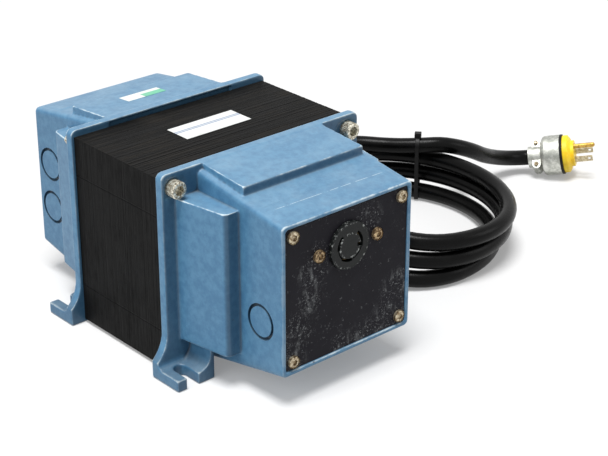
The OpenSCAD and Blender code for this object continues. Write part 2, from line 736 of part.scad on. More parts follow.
// Packet i, with the back of its E above on even packets and below on odd ones
module packet(i, part) {
    d0 = -stack_l / 2 + i * packet_l + packet_film / 2;
    d1 = d0 + packet_l - packet_film;
    up = i % 2 == 0;
    i_z0 = up ? stack_clear : core_top - limb_w;
    difference() {
        outward(d0, d1) translate([-core_half, part == "i" ? i_z0 : up ? window_z0 + joint_gap : stack_clear])
            square([2 * core_half, part == "i" ? limb_w : window_h + limb_w - joint_gap]);
        if (part == "e") outward(d0 - over, d1 + over) both_x()
            translate([limb_w, up ? window_z0 - over : window_z0]) square([limb_w, window_h + over]);
        core_holes(d0 - over, d1 + over);
    }
}
module core_e_laminations() { color(iron_black) for (i = [0:packets - 1]) packet(i, "e"); }
module core_i_laminations() { color(iron_black) for (i = [0:packets - 1]) packet(i, "i"); }

module tie_bolts_upper() {
    d0 = stack_l / 2 + seat_top;
    color(zinc) for (x = [-bolt_top_x, bolt_top_x]) difference() {
        union() {
            rod_out(x, bolt_top_z, d0, d0 + socket_h, socket_r);
            rod_out(x, bolt_top_z, -d0 - washer_t - nut_h - bolt_stick, d0 + over, bolt_r);
        }
        hex_out(x, bolt_top_z, d0 + socket_h / 2, d0 + socket_h + over, bolt_r * 0.97);
    }
}

module tie_bolts_lower() {
    d0 = stack_l / 2 + web_t + washer_t;
    color(zinc) for (x = [-bolt_low_x, bolt_low_x]) {
        hex_out(x, bolt_low_z, d0, d0 + hex_head_h, nut_r);
        rod_out(x, bolt_low_z, -d0 - nut_h - bolt_stick, d0 + over, bolt_r);
    }
}

module bolt_ring(x, z, d, t, r, sides) {
    difference() {
        translate([x, -d, z]) rotate([90, 0, 0]) cylinder(t, r = r, $fn = sides);
        rod_out(x, z, d - over, d + t + over, bolt_r + thread_gap);
    }
}

module tie_bolt_washers() {
    color(zinc) {
        for (x = [-bolt_top_x, bolt_top_x])
            bolt_ring(x, bolt_top_z, -stack_l / 2 - seat_top - washer_t, washer_t, washer_r, 48);
        for (x = [-bolt_low_x, bolt_low_x], d = [stack_l / 2 + web_t, -stack_l / 2 - web_t - washer_t])
            bolt_ring(x, bolt_low_z, d, washer_t, washer_r, 48);
    }
}

module tie_bolt_nuts() {
    color(zinc) {
        for (x = [-bolt_top_x, bolt_top_x])
            bolt_ring(x, bolt_top_z, -stack_l / 2 - seat_top - washer_t - nut_h, nut_h, nut_r, 6);
        for (x = [-bolt_low_x, bolt_low_x])
            bolt_ring(x, bolt_low_z, -stack_l / 2 - web_t - washer_t - nut_h, nut_h, nut_r, 6);
    }
}

module tie_bolt_sleeves() {
    color("tan") for (s = [[-bolt_top_x, bolt_top_z], [bolt_top_x, bolt_top_z],
        [-bolt_low_x, bolt_low_z], [bolt_low_x, bolt_low_z]]) difference() {
        rod_out(s[0], s[1], -stack_l / 2, stack_l / 2, bolt_r + sleeve_gap + sleeve_t);
        rod_out(s[0], s[1], -stack_l / 2 - over, stack_l / 2 + over, bolt_r + sleeve_gap);
    }
}

// Windings round the centre leg

module leg_round(o) {
    square([2 * limb_w + 2 * o, stack_l], center = true);
    square([2 * limb_w, stack_l + 2 * o], center = true);
    for (x = [-limb_w, limb_w], y = [-stack_l / 2, stack_l / 2]) translate([x, y]) circle(o);
}
module leg_layer(o0, o1, z0, z1) {
    translate([0, 0, z0]) linear_extrude(z1 - z0) difference() { leg_round(o1); leg_round(o0); }
}
module wound(o0, o1) {
    leg_layer(o0 + layer_gap, o1, bobbin_z0 + cheek_t + layer_gap, bobbin_z1 - cheek_t - layer_gap);
}

module bobbin() {
    color("ivory") {
        leg_layer(leg_clear, o_bobbin, bobbin_z0 + cheek_t / 2, bobbin_z1 - cheek_t / 2);
        leg_layer(leg_clear, o_wrap, bobbin_z0, bobbin_z0 + cheek_t);
        leg_layer(leg_clear, o_wrap, bobbin_z1 - cheek_t, bobbin_z1);
    }
}
module primary_winding() { color("peru") wound(o_bobbin, o_primary); }
module layer_insulation() {
    color("wheat") { wound(o_primary, o_sheet1); wound(o_foil, o_sheet2); }
}
module shield_foil() { color("chocolate") wound(o_sheet1, o_foil); }
module secondary_winding() { color("peru") wound(o_sheet2, o_secondary); }
module outer_wrap() { color("khaki") wound(o_secondary, o_wrap); }

// Receptacle

module arc_cut(range, r, w, d0, d1) {
    translate([0, -d0, outlet_z]) rotate([90, 0, 0]) rotate([0, 0, range[0]])
        rotate_extrude(angle = range[1] - range[0]) translate([r - w / 2, 0]) square([w, d1 - d0]);
}

module receptacle_face() {
    top = plate_face + face_out;
    color(rubber_black) at_front() difference() {
        rod_out(0, outlet_z, strap_back, top, face_r);
        for (a = slot_angles) arc_cut(a, contact_r, contact_w, strap_back - over, top + over);
        for (a = groove_angles) arc_cut(a, contact_r, groove_w, top - groove_d, top + over);
        arc_cut(notch_angles, contact_r * 0.8, contact_r * 0.36, strap_back - over, top + over);
    }
}

module receptacle_body() {
    color([0.2, 0.2, 0.2]) at_front() difference() {
        rod_out(0, outlet_z, outlet_back, strap_back, outlet_body_r);
        for (a = terminal_angle_shares) rod_out(terminal_r * cos(a), outlet_z + terminal_r * sin(a),
            outlet_back - over, outlet_back + 2 * terminal_head_h + thread_gap, terminal_shank_r + thread_gap);
    }
}

module receptacle_strap() {
    color(zinc) at_front() difference() {
        outward(strap_back, plate_back) union() {
            translate([0, outlet_z]) circle(outlet_body_r + strap_t);
            translate([-outlet_screw_x - screw_head_r, outlet_z - screw_head_r * 1.5])
                square([2 * (outlet_screw_x + screw_head_r), screw_head_r * 3]);
        }
        rod_out(0, outlet_z, strap_back - over, plate_back + over, face_r + pass_gap);
        for (x = [-outlet_screw_x, outlet_screw_x])
            rod_out(x, outlet_z, strap_back - over, plate_back + over, screw_r + thread_gap);
    }
}

module receptacle_contacts() {
    top = plate_face + face_out - contact_deep;
    color("gold") at_front() for (a = slot_angles)
        arc_cut([a[0] + 4, a[1] - 4], contact_r, contact_t, strap_back, top);
}

module receptacle_screws() {
    color(yellow_zinc) at_front() for (x = [-outlet_screw_x, outlet_screw_x]) translate([x, 0, outlet_z])
        pan_screw(plate_face, strap_back - plate_t, screw_head_r, screw_head_h, screw_r);
}

module receptacle_terminal_screws() {
    color("gold") at_front() for (a = terminal_angle_shares)
        translate([terminal_r * cos(a), 0, outlet_z + terminal_r * sin(a)]) {
            rod_out(0, 0, outlet_back - terminal_head_h, outlet_back, terminal_head_r);
            rod_out(0, 0, outlet_back - over, outlet_back + 2 * terminal_head_h, terminal_shank_r);
        }
}

// Wiring

module wire(path) {
    m = len(path);
    tube(bent(path, wire_bend), wire_r, 8, unit(path[1] - path[0]), unit(path[m - 1] - path[m - 2]),
        unit([1, -2, 2.5]));
}

module secondary_leads() {
    side = terminal_head_r + wire_r + pass_gap;
    out_z = outlet_z - outlet_body_r;
    mid = (o_wrap + outlet_back) / 2;
    color("firebrick") at_front() for (i = [1, 2]) {
        x = terminal_r * cos(terminal_angle_shares[i]);
        z = outlet_z + terminal_r * sin(terminal_angle_shares[i]);
        way = x < 0 ? -1 : 1;
        wire([[x * 2, -o_wrap, out_z], [x * 2, -mid, out_z], [x + way * side, -mid, z],
            [x + way * side, -outlet_back, z]]);
    }
}

// Place i of three in the mouth of splice cap k
function cap_spot(k, i) = [cap_xs[k] + cap_wire_off * cos(90 + 120 * i), -cap_d - cap_wire_off * sin(90 + 120 * i)];

module primary_leads() {
    color("saddlebrown") at_rear() for (k = [0, 1]) {
        s = cap_spot(k, 0) + [0, 2 * cap_wire_off];
        wire([[s[0], -o_wrap, can_z - can_r], [s[0], s[1], can_z - can_r], [s[0], s[1], cap_z]]);
    }
}

module cord_conductors() {
    x0 = -box_x + jacket_in;
    y0 = knockout_single - box_d;
    off = cord_r / 2.2;
    color("seagreen") at_rear() {
        for (k = [0, 1]) {
            s = cap_spot(k, 1);
            wire([[x0, y0 + off, knockout_z + (k == 0 ? -off : off) / 2],
                [x0 + 10 + 6 * k, y0 + off, knockout_z + (k == 0 ? -off : off) / 2],
                [s[0], s[1], cap_z + 12], [s[0], s[1], cap_z]]);
        }
        wire([[x0, y0 - off, knockout_z], [x0 + 12, y0 - off, knockout_z],
            [box_x - wall - lug_lead_in, y0 - off, lug_z + lug_r + lug_lead_off],
            [box_x - wall - lug_t / 2 - wire_r, -lug_d - lug_lead_off, lug_z],
            [box_x - wall - lug_t - wire_r, -lug_d - lug_r, lug_z]]);
    }
}

module splice_caps() {
    color("orange") at_rear() for (x = cap_xs) translate([x, -cap_d, cap_z - cap_h])
        rotate_extrude() polygon([[0, 0], [cap_r * 0.6, 0], [cap_r, cap_h * 0.75], [cap_r, cap_h], [0, cap_h]]);
}

module ground_lug() {
    x1 = box_x - wall;
    color("goldenrod") at_rear() difference() {
        rod_x(x1 - lug_t, x1, -lug_d, lug_z, lug_r);
        rod_x(x1 - lug_t - over, x1 + over, -lug_d, lug_z, screw_r + pass_gap);
    }
}
module ground_screw() {
    x1 = box_x - wall;
    color("green") at_rear() {
        rod_x(x1 - lug_t - screw_head_h, x1 - lug_t, -lug_d, lug_z, lug_r - thread_gap);
        rod_x(x1 - lug_t - over, x1 + screw_r, -lug_d, lug_z, screw_r);
    }
}

// Filter capacitor, strapped to the rear cover plate

module capacitor_can() { color("lightgray") at_rear() rod_x(can_x0, can_x0 + can_l, -can_d, can_z, can_r); }

module capacitor_strap() {
    r0 = can_r + can_gap;
    r1 = r0 + can_strap_t;
    color(zinc) at_rear() translate([0, -can_d, can_z]) difference() {
        union() {
            across(can_strap_w) circle(r1);
            across(can_strap_w) translate([-(plate_back - can_d), -r1]) square([plate_back - can_d, 2 * r1]);
            across(can_strap_w) translate([-(plate_back - can_d), -r1 - can_foot])
                square([can_strap_t, 2 * r1 + 2 * can_foot]);
        }
        across(can_strap_w + over) circle(r0);
        across(can_strap_w + over) translate([-(plate_back - can_d) - over, -r0])
            square([plate_back - can_d + over, 2 * r0]);
        for (z = [-can_screw, can_screw])
            rod_out(0, z, plate_back - can_d - can_strap_t - over, plate_back - can_d + over, terminal_shank_r + pass_gap);
    }
}

module capacitor_screws() {
    color(zinc) at_rear() for (z = [-can_screw, can_screw]) {
        d = plate_back - can_strap_t;
        rod_out(0, can_z + z, d - terminal_head_h, d, terminal_head_r);
        rod_out(0, can_z + z, d - over, plate_back + plate_t * 2 / 3 - thread_gap, terminal_shank_r);
    }
}

module capacitor_terminals() {
    color("gold") at_rear() for (s = [-1, 1])
        rod_x(can_x0 - terminal_post_h, can_x0, -can_d + s * terminal_post_off, can_z, terminal_post_r);
}

module capacitor_leads() {
    x0 = can_x0 - terminal_post_h;
    color("slateblue") at_rear() for (k = [0, 1]) {
        s = cap_spot(k, 2);
        y = -can_d + (k == 0 ? 1 : -1) * terminal_post_off;
        z = can_z - can_r - can_lead_under - can_lead_step * (1 - k);
        wire([[x0 + wire_r, y, can_z - terminal_post_r], [x0 + wire_r, y, z], [s[0], s[1], z], [s[0], s[1], cap_z]]);
    }
}

module surge_suppressor() {
    r = 9;
    t = 4;
    leg = 0.6;
    x = can_x0 - terminal_post_h / 2;
    z = can_z + terminal_post_r;
    color("orangered") at_rear() {
        rod_x(x - t / 2, x + t / 2, -can_d, z + r + 4, r);
        for (s = [-1, 1]) translate([x, -can_d + s * terminal_post_off, z]) cylinder(r + 4, r = leg);
    }
}

// Cord gland in the side wall of the rear box

module on_gland() { translate([box_x, gland_y, knockout_z]) rotate([0, 90, 0]) children(); }

module gland_body() {
    color([0.2, 0.2, 0.2]) on_gland() difference() {
        union() {
            translate([0, 0, -nipple_in]) cylinder(nipple_in + gland_hex_l + gland_neck_l, r = nipple_r);
            cylinder(gland_hex_l, r = gland_hex_r, $fn = 6);
        }
        translate([0, 0, -nipple_in - over]) cylinder(nipple_in + gland_hex_l + gland_neck_l + 2 * over, r = gland_bore);
    }
}
module gland_locknut() {
    color([0.2, 0.2, 0.2]) on_gland() translate([0, 0, -wall - locknut_t]) difference() {
        cylinder(locknut_t, r = gland_hex_r, $fn = 6);
        translate([0, 0, -over]) cylinder(locknut_t + 2 * over, r = nipple_hole_r);
    }
}
module gland_cap() {
    z1 = gland_cap_l;
    color([0.2, 0.2, 0.2]) on_gland() translate([0, 0, gland_hex_l]) rotate_extrude() polygon([
        [nipple_hole_r, 0], [gland_cap_r, 0], [gland_cap_r, z1 * 0.6], [gland_cap_end_r, z1],
        [bushing_neck_r + pass_gap, z1], [bushing_neck_r + pass_gap, z1 * 0.8],
        [bushing_r + pass_gap, z1 * 0.8], [bushing_r + pass_gap, gland_neck_l], [nipple_hole_r, gland_neck_l]]);
}
module gland_bushing() {
    z1 = gland_cap_l;
    color(rubber_black) on_gland() translate([0, 0, gland_hex_l]) rotate_extrude() polygon([
        [bushing_hole_r, gland_neck_l], [bushing_r, gland_neck_l], [bushing_r, z1 * 0.8],
        [bushing_neck_r, z1 * 0.8], [bushing_neck_r, z1 + bushing_out], [bushing_hole_r, z1 + bushing_out]]);
}

// Cord

module cord_lead() {
    color(rubber_black) tube(lead_path, cord_r, tail_sides, [1, 0, 0], along(coil_start));
}
module cord_coil() {
    color(rubber_black) tube(coil_path, cord_r, coil_sides, along(coil_start), along(coil_end));
}
module cord_tail() {
    color(rubber_black) tube(tail_path, cord_r, tail_sides, along(coil_end), plug_axis);
}

// Outline round the four strands, cut off level at height z
module tie_outline(r, z) {
    intersection() {
        hull() for (s = tie_spots) translate(s) circle(r, $fn = 24);
        translate([-tie_reach, z]) square([2 * tie_reach, tie_reach]);
    }
}
module cable_tie() {
    r = cord_r + tie_gap;
    color([0.05, 0.05, 0.05]) translate([tie_at[0], tie_at[1], 0]) rotate([0, 0, tie_turn]) {
        rotate([90, 0, 0]) linear_extrude(tie_w, center = true) difference() {
            tie_outline(r + tie_t, tie_low);
            tie_outline(r, tie_low + tie_t);
        }
        translate([tie_spots[0][0] - tie_head / 2, -tie_head / 2, tie_spots[0][1] + r + tie_t / 2])
            cube([tie_head, tie_head, tie_head * 0.75]);
    }
}

// Plug, drawn along +Z with the earth pin toward -X

module on_plug() { translate(tail_end) rotate([0, plug_tilt, plug_turn]) rotate([0, 0, plug_roll]) children(); }

module plug_clamp() {
    z = clamp_l - clamp_ear / 2;
    color(zinc) on_plug() rotate([0, 0, clamp_roll]) for (s = [-1, 1]) difference() {
        union() {
            cylinder(clamp_l, r = clamp_r);
            for (x = [-clamp_screw_x, clamp_screw_x]) translate([x, clamp_w / 2 + clamp_split, z])
                rotate([90, 0, 0]) cylinder(clamp_w + 2 * clamp_split, d = clamp_ear);
            translate([-clamp_screw_x, -clamp_w / 2 - clamp_split, clamp_l - clamp_ear])
                cube([2 * clamp_screw_x, clamp_w + 2 * clamp_split, clamp_ear]);
        }
        translate([-clamp_w * 2, s > 0 ? clamp_split / 2 - clamp_w * 2 : -clamp_split / 2, -over])
            cube([clamp_w * 4, clamp_w * 2, clamp_l + 2 * over]);
        translate([0, 0, -over]) cylinder(clamp_l + 2 * over, r = cord_r + thread_gap);
        for (x = [-clamp_screw_x, clamp_screw_x]) translate([x, clamp_w, z])
            rotate([90, 0, 0]) cylinder(2 * clamp_w, r = clamp_screw_r + thread_gap);
    }
}
module plug_clamp_screws() {
    y = clamp_w / 2 + clamp_split;
    color(yellow_zinc) on_plug() rotate([0, 0, clamp_roll]) for (x = [-clamp_screw_x, clamp_screw_x])
        translate([x, -y, clamp_l - clamp_ear / 2]) rotate([90, 0, 0]) {
            cylinder(clamp_head_h, r = clamp_head_r);
            translate([0, 0, -2 * y]) cylinder(2 * y + over, r = clamp_screw_r);
        }
}
module plug_sleeve() {
    l = plug_sleeve_l;
    n = sleeve_neck_l;
    m = n + shoulder_l;
    w = sleeve_wall;
    color(zinc) on_plug() rotate_extrude() polygon([
        [cord_r + pass_gap, clamp_l], [sleeve_neck_r, clamp_l], [sleeve_neck_r, n],
        [plug_r * 0.84, n + shoulder_l * 0.13], [plug_r * 0.94, n + shoulder_l * 0.42], [plug_r, m], [plug_r, l],
        [plug_r - w, l], [plug_r - w, m + w], [sleeve_neck_r - w / 2, m + w * 0.6], [cord_r + pass_gap, n + w]]);
}
module plug_gasket_ring() {
    color(rubber_black) on_plug() translate([0, 0, plug_sleeve_l]) cylinder(plug_ring_t, r = plug_r);
}
module plug_body() {
    z0 = plug_sleeve_l + plug_ring_t;
    color("gold") on_plug() difference() {
        union() {
            translate([0, 0, z0]) rotate_extrude() polygon([[0, 0], [plug_r - sleeve_wall / 2, 0],
                [plug_r - sleeve_wall / 2, plug_body_l - sleeve_wall],
                [plug_r - 2 * sleeve_wall, plug_body_l], [0, plug_body_l]]);
            translate([0, 0, z0]) cylinder(plug_body_l + plug_face_l, r = plug_face_r);
        }
        for (y = [-blade_pitch / 2, blade_pitch / 2]) translate([blade_off, y, z0 + 2 * plug_body_l])
            cube([blade_w + 2 * thread_gap, blade_t + 2 * thread_gap, 4 * plug_body_l], center = true);
        translate([-pin_off, 0, z0]) cylinder(2 * plug_body_l, r = pin_d / 2 + thread_gap);
    }
}
module plug_blades() {
    z0 = plug_sleeve_l + plug_ring_t;
    l = plug_body_l + plug_face_l + blade_l - thread_gap;
    color("silver") on_plug() for (y = [-blade_pitch / 2, blade_pitch / 2]) difference() {
        translate([blade_off - blade_w / 2, y - blade_t / 2, z0 + thread_gap]) cube([blade_w, blade_t, l]);
        translate([blade_off, y + blade_t, z0 + l - blade_w / 2]) rotate([90, 0, 0]) cylinder(2 * blade_t, r = blade_hole_r);
    }
}
module plug_ground_pin() {
    z0 = plug_sleeve_l + plug_ring_t;
    l = plug_body_l + plug_face_l + pin_l;
    color("gold") on_plug() translate([-pin_off, 0, z0 + thread_gap]) {
        cylinder(l - pin_d / 2, d = pin_d);
        translate([0, 0, l - pin_d / 2]) sphere(d = pin_d);
    }
}

// Labels, left bare

module top_label() {
    color("white") translate([-label_x, -label_y * 0.31, core_top]) cube([2 * label_x, label_y, label_t]);
}
module rear_label() {
    d = hump_l * 0.5;
    color("white") at_rear() translate([-tag_x * 0.4, -d, hump_z(d)]) rotate([hump_angle, 0, 0])
        translate([0, -tag_y, 0]) cube([tag_x, tag_y, label_t]);
}

front_bell();
rear_bell();
front_cover_plate();
rear_cover_plate();
front_cover_screws();
rear_cover_screws();
core_e_laminations();
core_i_laminations();
tie_bolts_upper();
tie_bolts_lower();
tie_bolt_washers();
tie_bolt_nuts();
tie_bolt_sleeves();
bobbin();
primary_winding();
layer_insulation();
shield_foil();
secondary_winding();
outer_wrap();
receptacle_face();
receptacle_body();
receptacle_strap();
receptacle_contacts();
receptacle_screws();
receptacle_terminal_screws();
secondary_leads();
primary_leads();
cord_conductors();
splice_caps();
ground_screw();
ground_lug();
capacitor_can();
capacitor_strap();
capacitor_screws();
capacitor_terminals();
capacitor_leads();
surge_suppressor();
gland_body();
gland_locknut();
gland_cap();
gland_bushing();
cord_lead();
cord_coil();
cord_tail();
cable_tie();
plug_sleeve();
plug_gasket_ring();
plug_body();
plug_blades();
plug_ground_pin();
plug_clamp();
plug_clamp_screws();
top_label();
rear_label();
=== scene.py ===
import math

import bmesh
import bpy
import numpy as np
from mathutils import Matrix, Vector, kdtree


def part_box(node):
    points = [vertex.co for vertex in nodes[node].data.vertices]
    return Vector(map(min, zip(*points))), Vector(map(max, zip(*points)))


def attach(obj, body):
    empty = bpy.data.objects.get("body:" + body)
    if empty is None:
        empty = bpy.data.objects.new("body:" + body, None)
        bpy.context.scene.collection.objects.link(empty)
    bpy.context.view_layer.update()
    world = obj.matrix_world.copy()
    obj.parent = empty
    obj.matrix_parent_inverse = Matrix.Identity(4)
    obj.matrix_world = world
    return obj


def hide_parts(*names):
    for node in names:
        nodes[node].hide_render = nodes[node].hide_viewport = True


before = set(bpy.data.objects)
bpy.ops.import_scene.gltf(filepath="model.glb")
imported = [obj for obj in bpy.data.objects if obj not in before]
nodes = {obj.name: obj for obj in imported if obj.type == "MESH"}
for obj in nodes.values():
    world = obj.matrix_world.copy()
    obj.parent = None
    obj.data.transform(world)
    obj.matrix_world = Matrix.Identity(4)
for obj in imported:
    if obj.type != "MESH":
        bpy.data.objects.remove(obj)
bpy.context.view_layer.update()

# Looks of a power conditioner transformer, built round its CAD model. Metres, front toward -Y.
mm = 0.001


def linear(red, green, blue):
    # A colour given from 0 to 255, as Blender wants it
    parts = [c / 255 for c in (red, green, blue)]
    return tuple(c / 12.92 if c <= 0.04045 else ((c + 0.055) / 1.055) ** 2.4 for c in parts) + (1.0,)


# Camera, light and floor

camera = {"place": (-0.787436, -1.0006, 0.677827), "turn": (64.669, 0.0, -41.527), "lens": 99.22}
studio = {"sky": 0.34, "shine": 0.90, "top": 3.2, "topTurn": (5, -10, 0), "topSpread": 26,
          "panelPower": 1.3, "panelSize": 0.5, "panelPlace": (-0.62, -0.10, 0.34),
          "panelAim": (-0.08, -0.06, 0.08),
          "rightPower": 0.7, "rightSize": 0.35, "rightPlace": (0.66, -0.50, 0.42),
          "rightAim": (0.43, 0.0, 0.02),
          "floorHalf": 9, "floorDrop": 0.0003, "floorBounce": 0.45, "floorGlow": 0.22, "floorShown": 0.60}

lens = bpy.data.cameras.new("photoCamera")
lens.sensor_width = 36
lens.lens = camera["lens"]
lens.clip_start = 0.05
eye = bpy.data.objects.new("photoCamera", lens)
eye.location = camera["place"]
eye.rotation_euler = [math.radians(a) for a in camera["turn"]]
bpy.context.scene.collection.objects.link(eye)
bpy.context.scene.camera = eye
bpy.context.scene.view_settings.view_transform = "Standard"


def sun(name, power, turn, spread):
    lamp = bpy.data.lights.new(name, "SUN")
    lamp.energy = power
    lamp.angle = math.radians(spread)
    held = bpy.data.objects.new(name, lamp)
    held.rotation_euler = [math.radians(a) for a in turn]
    held.location = (0, 0, 2)
    bpy.context.scene.collection.objects.link(held)


sun("topLight", studio["top"], studio["topTurn"], studio["topSpread"])


def panel(name, power, size, spot, aim):
    lamp = bpy.data.lights.new(name, "AREA")
    lamp.energy, lamp.size = power, size
    held = bpy.data.objects.new(name, lamp)
    held.location = spot
    held.rotation_euler = (Vector(spot) - Vector(aim)).to_track_quat("Z", "Y").to_euler()
    bpy.context.scene.collection.objects.link(held)


panel("leftPanel", studio["panelPower"], studio["panelSize"], studio["panelPlace"], studio["panelAim"])
panel("rightPanel", studio["rightPower"], studio["rightSize"], studio["rightPlace"], studio["rightAim"])


# Node helpers

class Wire:
    # One socket of a node tree. Plain arithmetic on it adds Math nodes.
    def __init__(self, board, socket):
        self.board, self.socket = board, socket

    def __add__(self, other): return self.board.math("ADD", self, other)
    def __radd__(self, other): return self.board.math("ADD", other, self)
    def __sub__(self, other): return self.board.math("SUBTRACT", self, other)
    def __rsub__(self, other): return self.board.math("SUBTRACT", other, self)
    def __mul__(self, other): return self.board.math("MULTIPLY", self, other)
    def __rmul__(self, other): return self.board.math("MULTIPLY", other, self)
    def __truediv__(self, other): return self.board.math("DIVIDE", self, other)
    def __pow__(self, other): return self.board.math("POWER", self, other)
    def __neg__(self): return self.board.math("MULTIPLY", self, -1)
    def high(self, other): return self.board.math("MAXIMUM", self, other)
    def size(self): return self.board.math("ABSOLUTE", self)


class Board:
    # A node tree and the one method that adds nodes to it
    def __init__(self, tree, prefix):
        self.tree, self.prefix = tree, prefix

    def add(self, kind, settings=None, values=None, out=0):
        made = self.tree.nodes.new(self.prefix + kind)
        for key, value in (settings or {}).items():
            setattr(made, key, value)
        for key, value in (values or {}).items():
            if isinstance(value, Wire):
                self.tree.links.new(value.socket, made.inputs[key])
            else:
                made.inputs[key].default_value = value
        return Wire(self, made.outputs[out])

    def join(self, *wires):
        # Several geometries into one
        made = self.add("JoinGeometry")
        for wire in wires:
            self.tree.links.new(wire.socket, made.socket.node.inputs[0])
        return made

    def math(self, operation, first, second=None):
        values = {0: first} if second is None else {0: first, 1: second}
        made = Board(self.tree, "ShaderNode").add("Math", {"operation": operation}, values)
        return Wire(self, made.socket)

    def parts(self, vector):
        split = self.add("SeparateXYZ", None, {0: vector})
        return [Wire(self, s) for s in split.socket.node.outputs]


class Finish(Board):
    # One material: its Principled shader and the patterns that feed it
    def __init__(self, name, **values):
        self.material = bpy.data.materials.new(name)
        self.material.use_nodes = True
        super().__init__(self.material.node_tree, "ShaderNode")
        self.shader = self.tree.nodes["Principled BSDF"]
        self.place = self.add("TexCoord", None, None, "Object")
        self.give(**values)

    def give(self, **values):
        names = {"colour": "Base Color", "rough": "Roughness", "metal": "Metallic",
                 "shine": "Specular IOR Level", "normal": "Normal"}
        for key, value in values.items():
            socket = self.shader.inputs[names[key]]
            if isinstance(value, Wire):
                self.tree.links.new(value.socket, socket)
            else:
                socket.default_value = value

    def stretched(self, scale):
        return self.add("Mapping", None, {"Vector": self.place, "Scale": scale})

    def noise(self, scale, detail=3, rough=0.55, place=None):
        return self.add("TexNoise", None, {"Vector": place or self.place, "Scale": scale, "Detail": detail,
                                           "Roughness": rough})

    def cells(self, scale):
        return self.add("TexVoronoi", None, {"Vector": self.place, "Scale": scale})

    def step(self, value, low, high):
        # 0 at low, 1 at high and smooth between, whichever of the two is larger
        return self.add("MapRange", {"interpolation_type": "SMOOTHSTEP"},
                        {"Value": value, "From Min": low, "From Max": high})

    def mix(self, share, first, second):
        made = self.add("Mix", {"data_type": "RGBA"}, {"Factor": share})
        for key, value in ((6, first), (7, second)):
            socket = made.socket.node.inputs[key]
            if isinstance(value, Wire):
                self.tree.links.new(value.socket, socket)
            else:
                socket.default_value = value
        return Wire(self, made.socket.node.outputs[2])

    def bump(self, height, depth, strength):
        return self.add("Bump", None, {"Height": height, "Distance": depth, "Strength": strength})

    def spot(self, centre, reach):
        # 1 at a point of the object, falling to 0 at reach
        away = self.add("VectorMath", {"operation": "DISTANCE"}, {0: self.place, 1: centre}, "Value")
        return 1 - self.step(away, 0, reach)

    def facing(self):
        # How far the surface faces along X, Y and Z, -1 to 1
        return self.parts(self.add("NewGeometry", None, None, "Normal"))

    def strongest(self, marks):
        # The strongest of several marks
        best = marks[0]
        for mark in marks[1:]:
            best = best.high(mark)
        return best

    def attribute(self, name):
        return self.add("Attribute", {"attribute_name": name}, None, "Fac")


def skyAndFloor():
    world = bpy.data.worlds.new("studioSky")
    bpy.context.scene.world = world
    world.use_nodes = True
    sky = Board(world.node_tree, "ShaderNode")
    path = sky.add("LightPath").socket.node.outputs
    seen = Wire(sky, path["Is Camera Ray"]).high(Wire(sky, path["Is Transmission Ray"]))
    shine = Wire(sky, path["Is Glossy Ray"])
    back = world.node_tree.nodes["Background"]
    strength = studio["sky"] + seen * (1 - studio["sky"]) + shine * (studio["shine"] - studio["sky"])
    world.node_tree.links.new(strength.socket, back.inputs["Strength"])
    back.inputs["Color"].default_value = (1, 1, 1, 1)

    mesh = bpy.data.meshes.new("studioFloor")
    half = studio["floorHalf"]
    sheet = [(-half, -half, 0), (half, -half, 0), (half, half, 0), (-half, half, 0)]
    mesh.from_pydata(sheet, [], [(0, 1, 2, 3)])
    floor = bpy.data.objects.new("studioFloor", mesh)
    floor.location.z = -studio["floorDrop"]
    bpy.context.scene.collection.objects.link(floor)
    paper = Finish("paperFloor", colour=(*[studio["floorBounce"]] * 3, 1), rough=0.9, shine=0.1)
    path = paper.add("LightPath").socket.node.outputs
    seen = Wire(paper, path["Is Camera Ray"]).high(Wire(paper, path["Is Glossy Ray"]))
    seen = seen.high(Wire(paper, path["Is Transmission Ray"]))
    glow = paper.add("Emission", None, {"Color": (1, 1, 1, 1), "Strength": studio["floorGlow"]})
    matt = paper.add("BsdfDiffuse", None, {"Color": (*[studio["floorShown"]] * 3, 1)})
    both = paper.add("AddShader", None, {0: glow, 1: matt})
    shown = paper.add("MixShader", None, {0: seen, 1: Wire(paper, paper.shader.outputs[0]), 2: both})
    output = paper.tree.nodes["Material Output"]
    paper.tree.links.new(shown.socket, output.inputs["Surface"])
    mesh.materials.append(paper.material)


skyAndFloor()
print("studio ready")


# Mesh helpers

def place(name, mesh, material=None):
    made = bpy.data.objects.new(name, mesh)
    bpy.context.scene.collection.objects.link(made)
    if material:
        mesh.materials.clear()
        mesh.materials.append(material)
    return made


def settle(obj):
    # Its modifiers' result as a plain mesh, and no modifiers
    graph = bpy.context.evaluated_depsgraph_get()
    graph.update()
    mesh = bpy.data.meshes.new_from_object(obj.evaluated_get(graph), preserve_all_data_layers=True,
                                           depsgraph=graph)
    obj.modifiers.clear()
    obj.data = mesh
    return obj


def cadMesh(node, dissolve=0.0):
    # A fresh merged copy of a CAD node's loose triangles
    shape = bmesh.new()
    shape.from_mesh(nodes[node].data)
    bmesh.ops.remove_doubles(shape, verts=shape.verts, dist=2e-6)
    if dissolve:
        bmesh.ops.dissolve_limit(shape, angle_limit=math.radians(dissolve), verts=shape.verts,
                                 edges=shape.edges)
    shape.verts.index_update()
    mesh = bpy.data.meshes.new(node)
    mesh.from_pydata([v.co[:] for v in shape.verts], [], [[v.index for v in f.verts] for f in shape.faces])
    shape.free()
    return mesh


def smoothShade(mesh, angle):
    mesh.polygons.foreach_set("use_smooth", [True] * len(mesh.polygons))
    mesh.set_sharp_from_angle(angle=math.radians(angle))


def keepPiece(made, node, angle=30):
    # A finished piece in place of a CAD node
    smoothShade(made.data, angle)
    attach(made, "root")
    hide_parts(node)


easing = {"steps": 2, "angle": 32, "dissolve": 0.6}


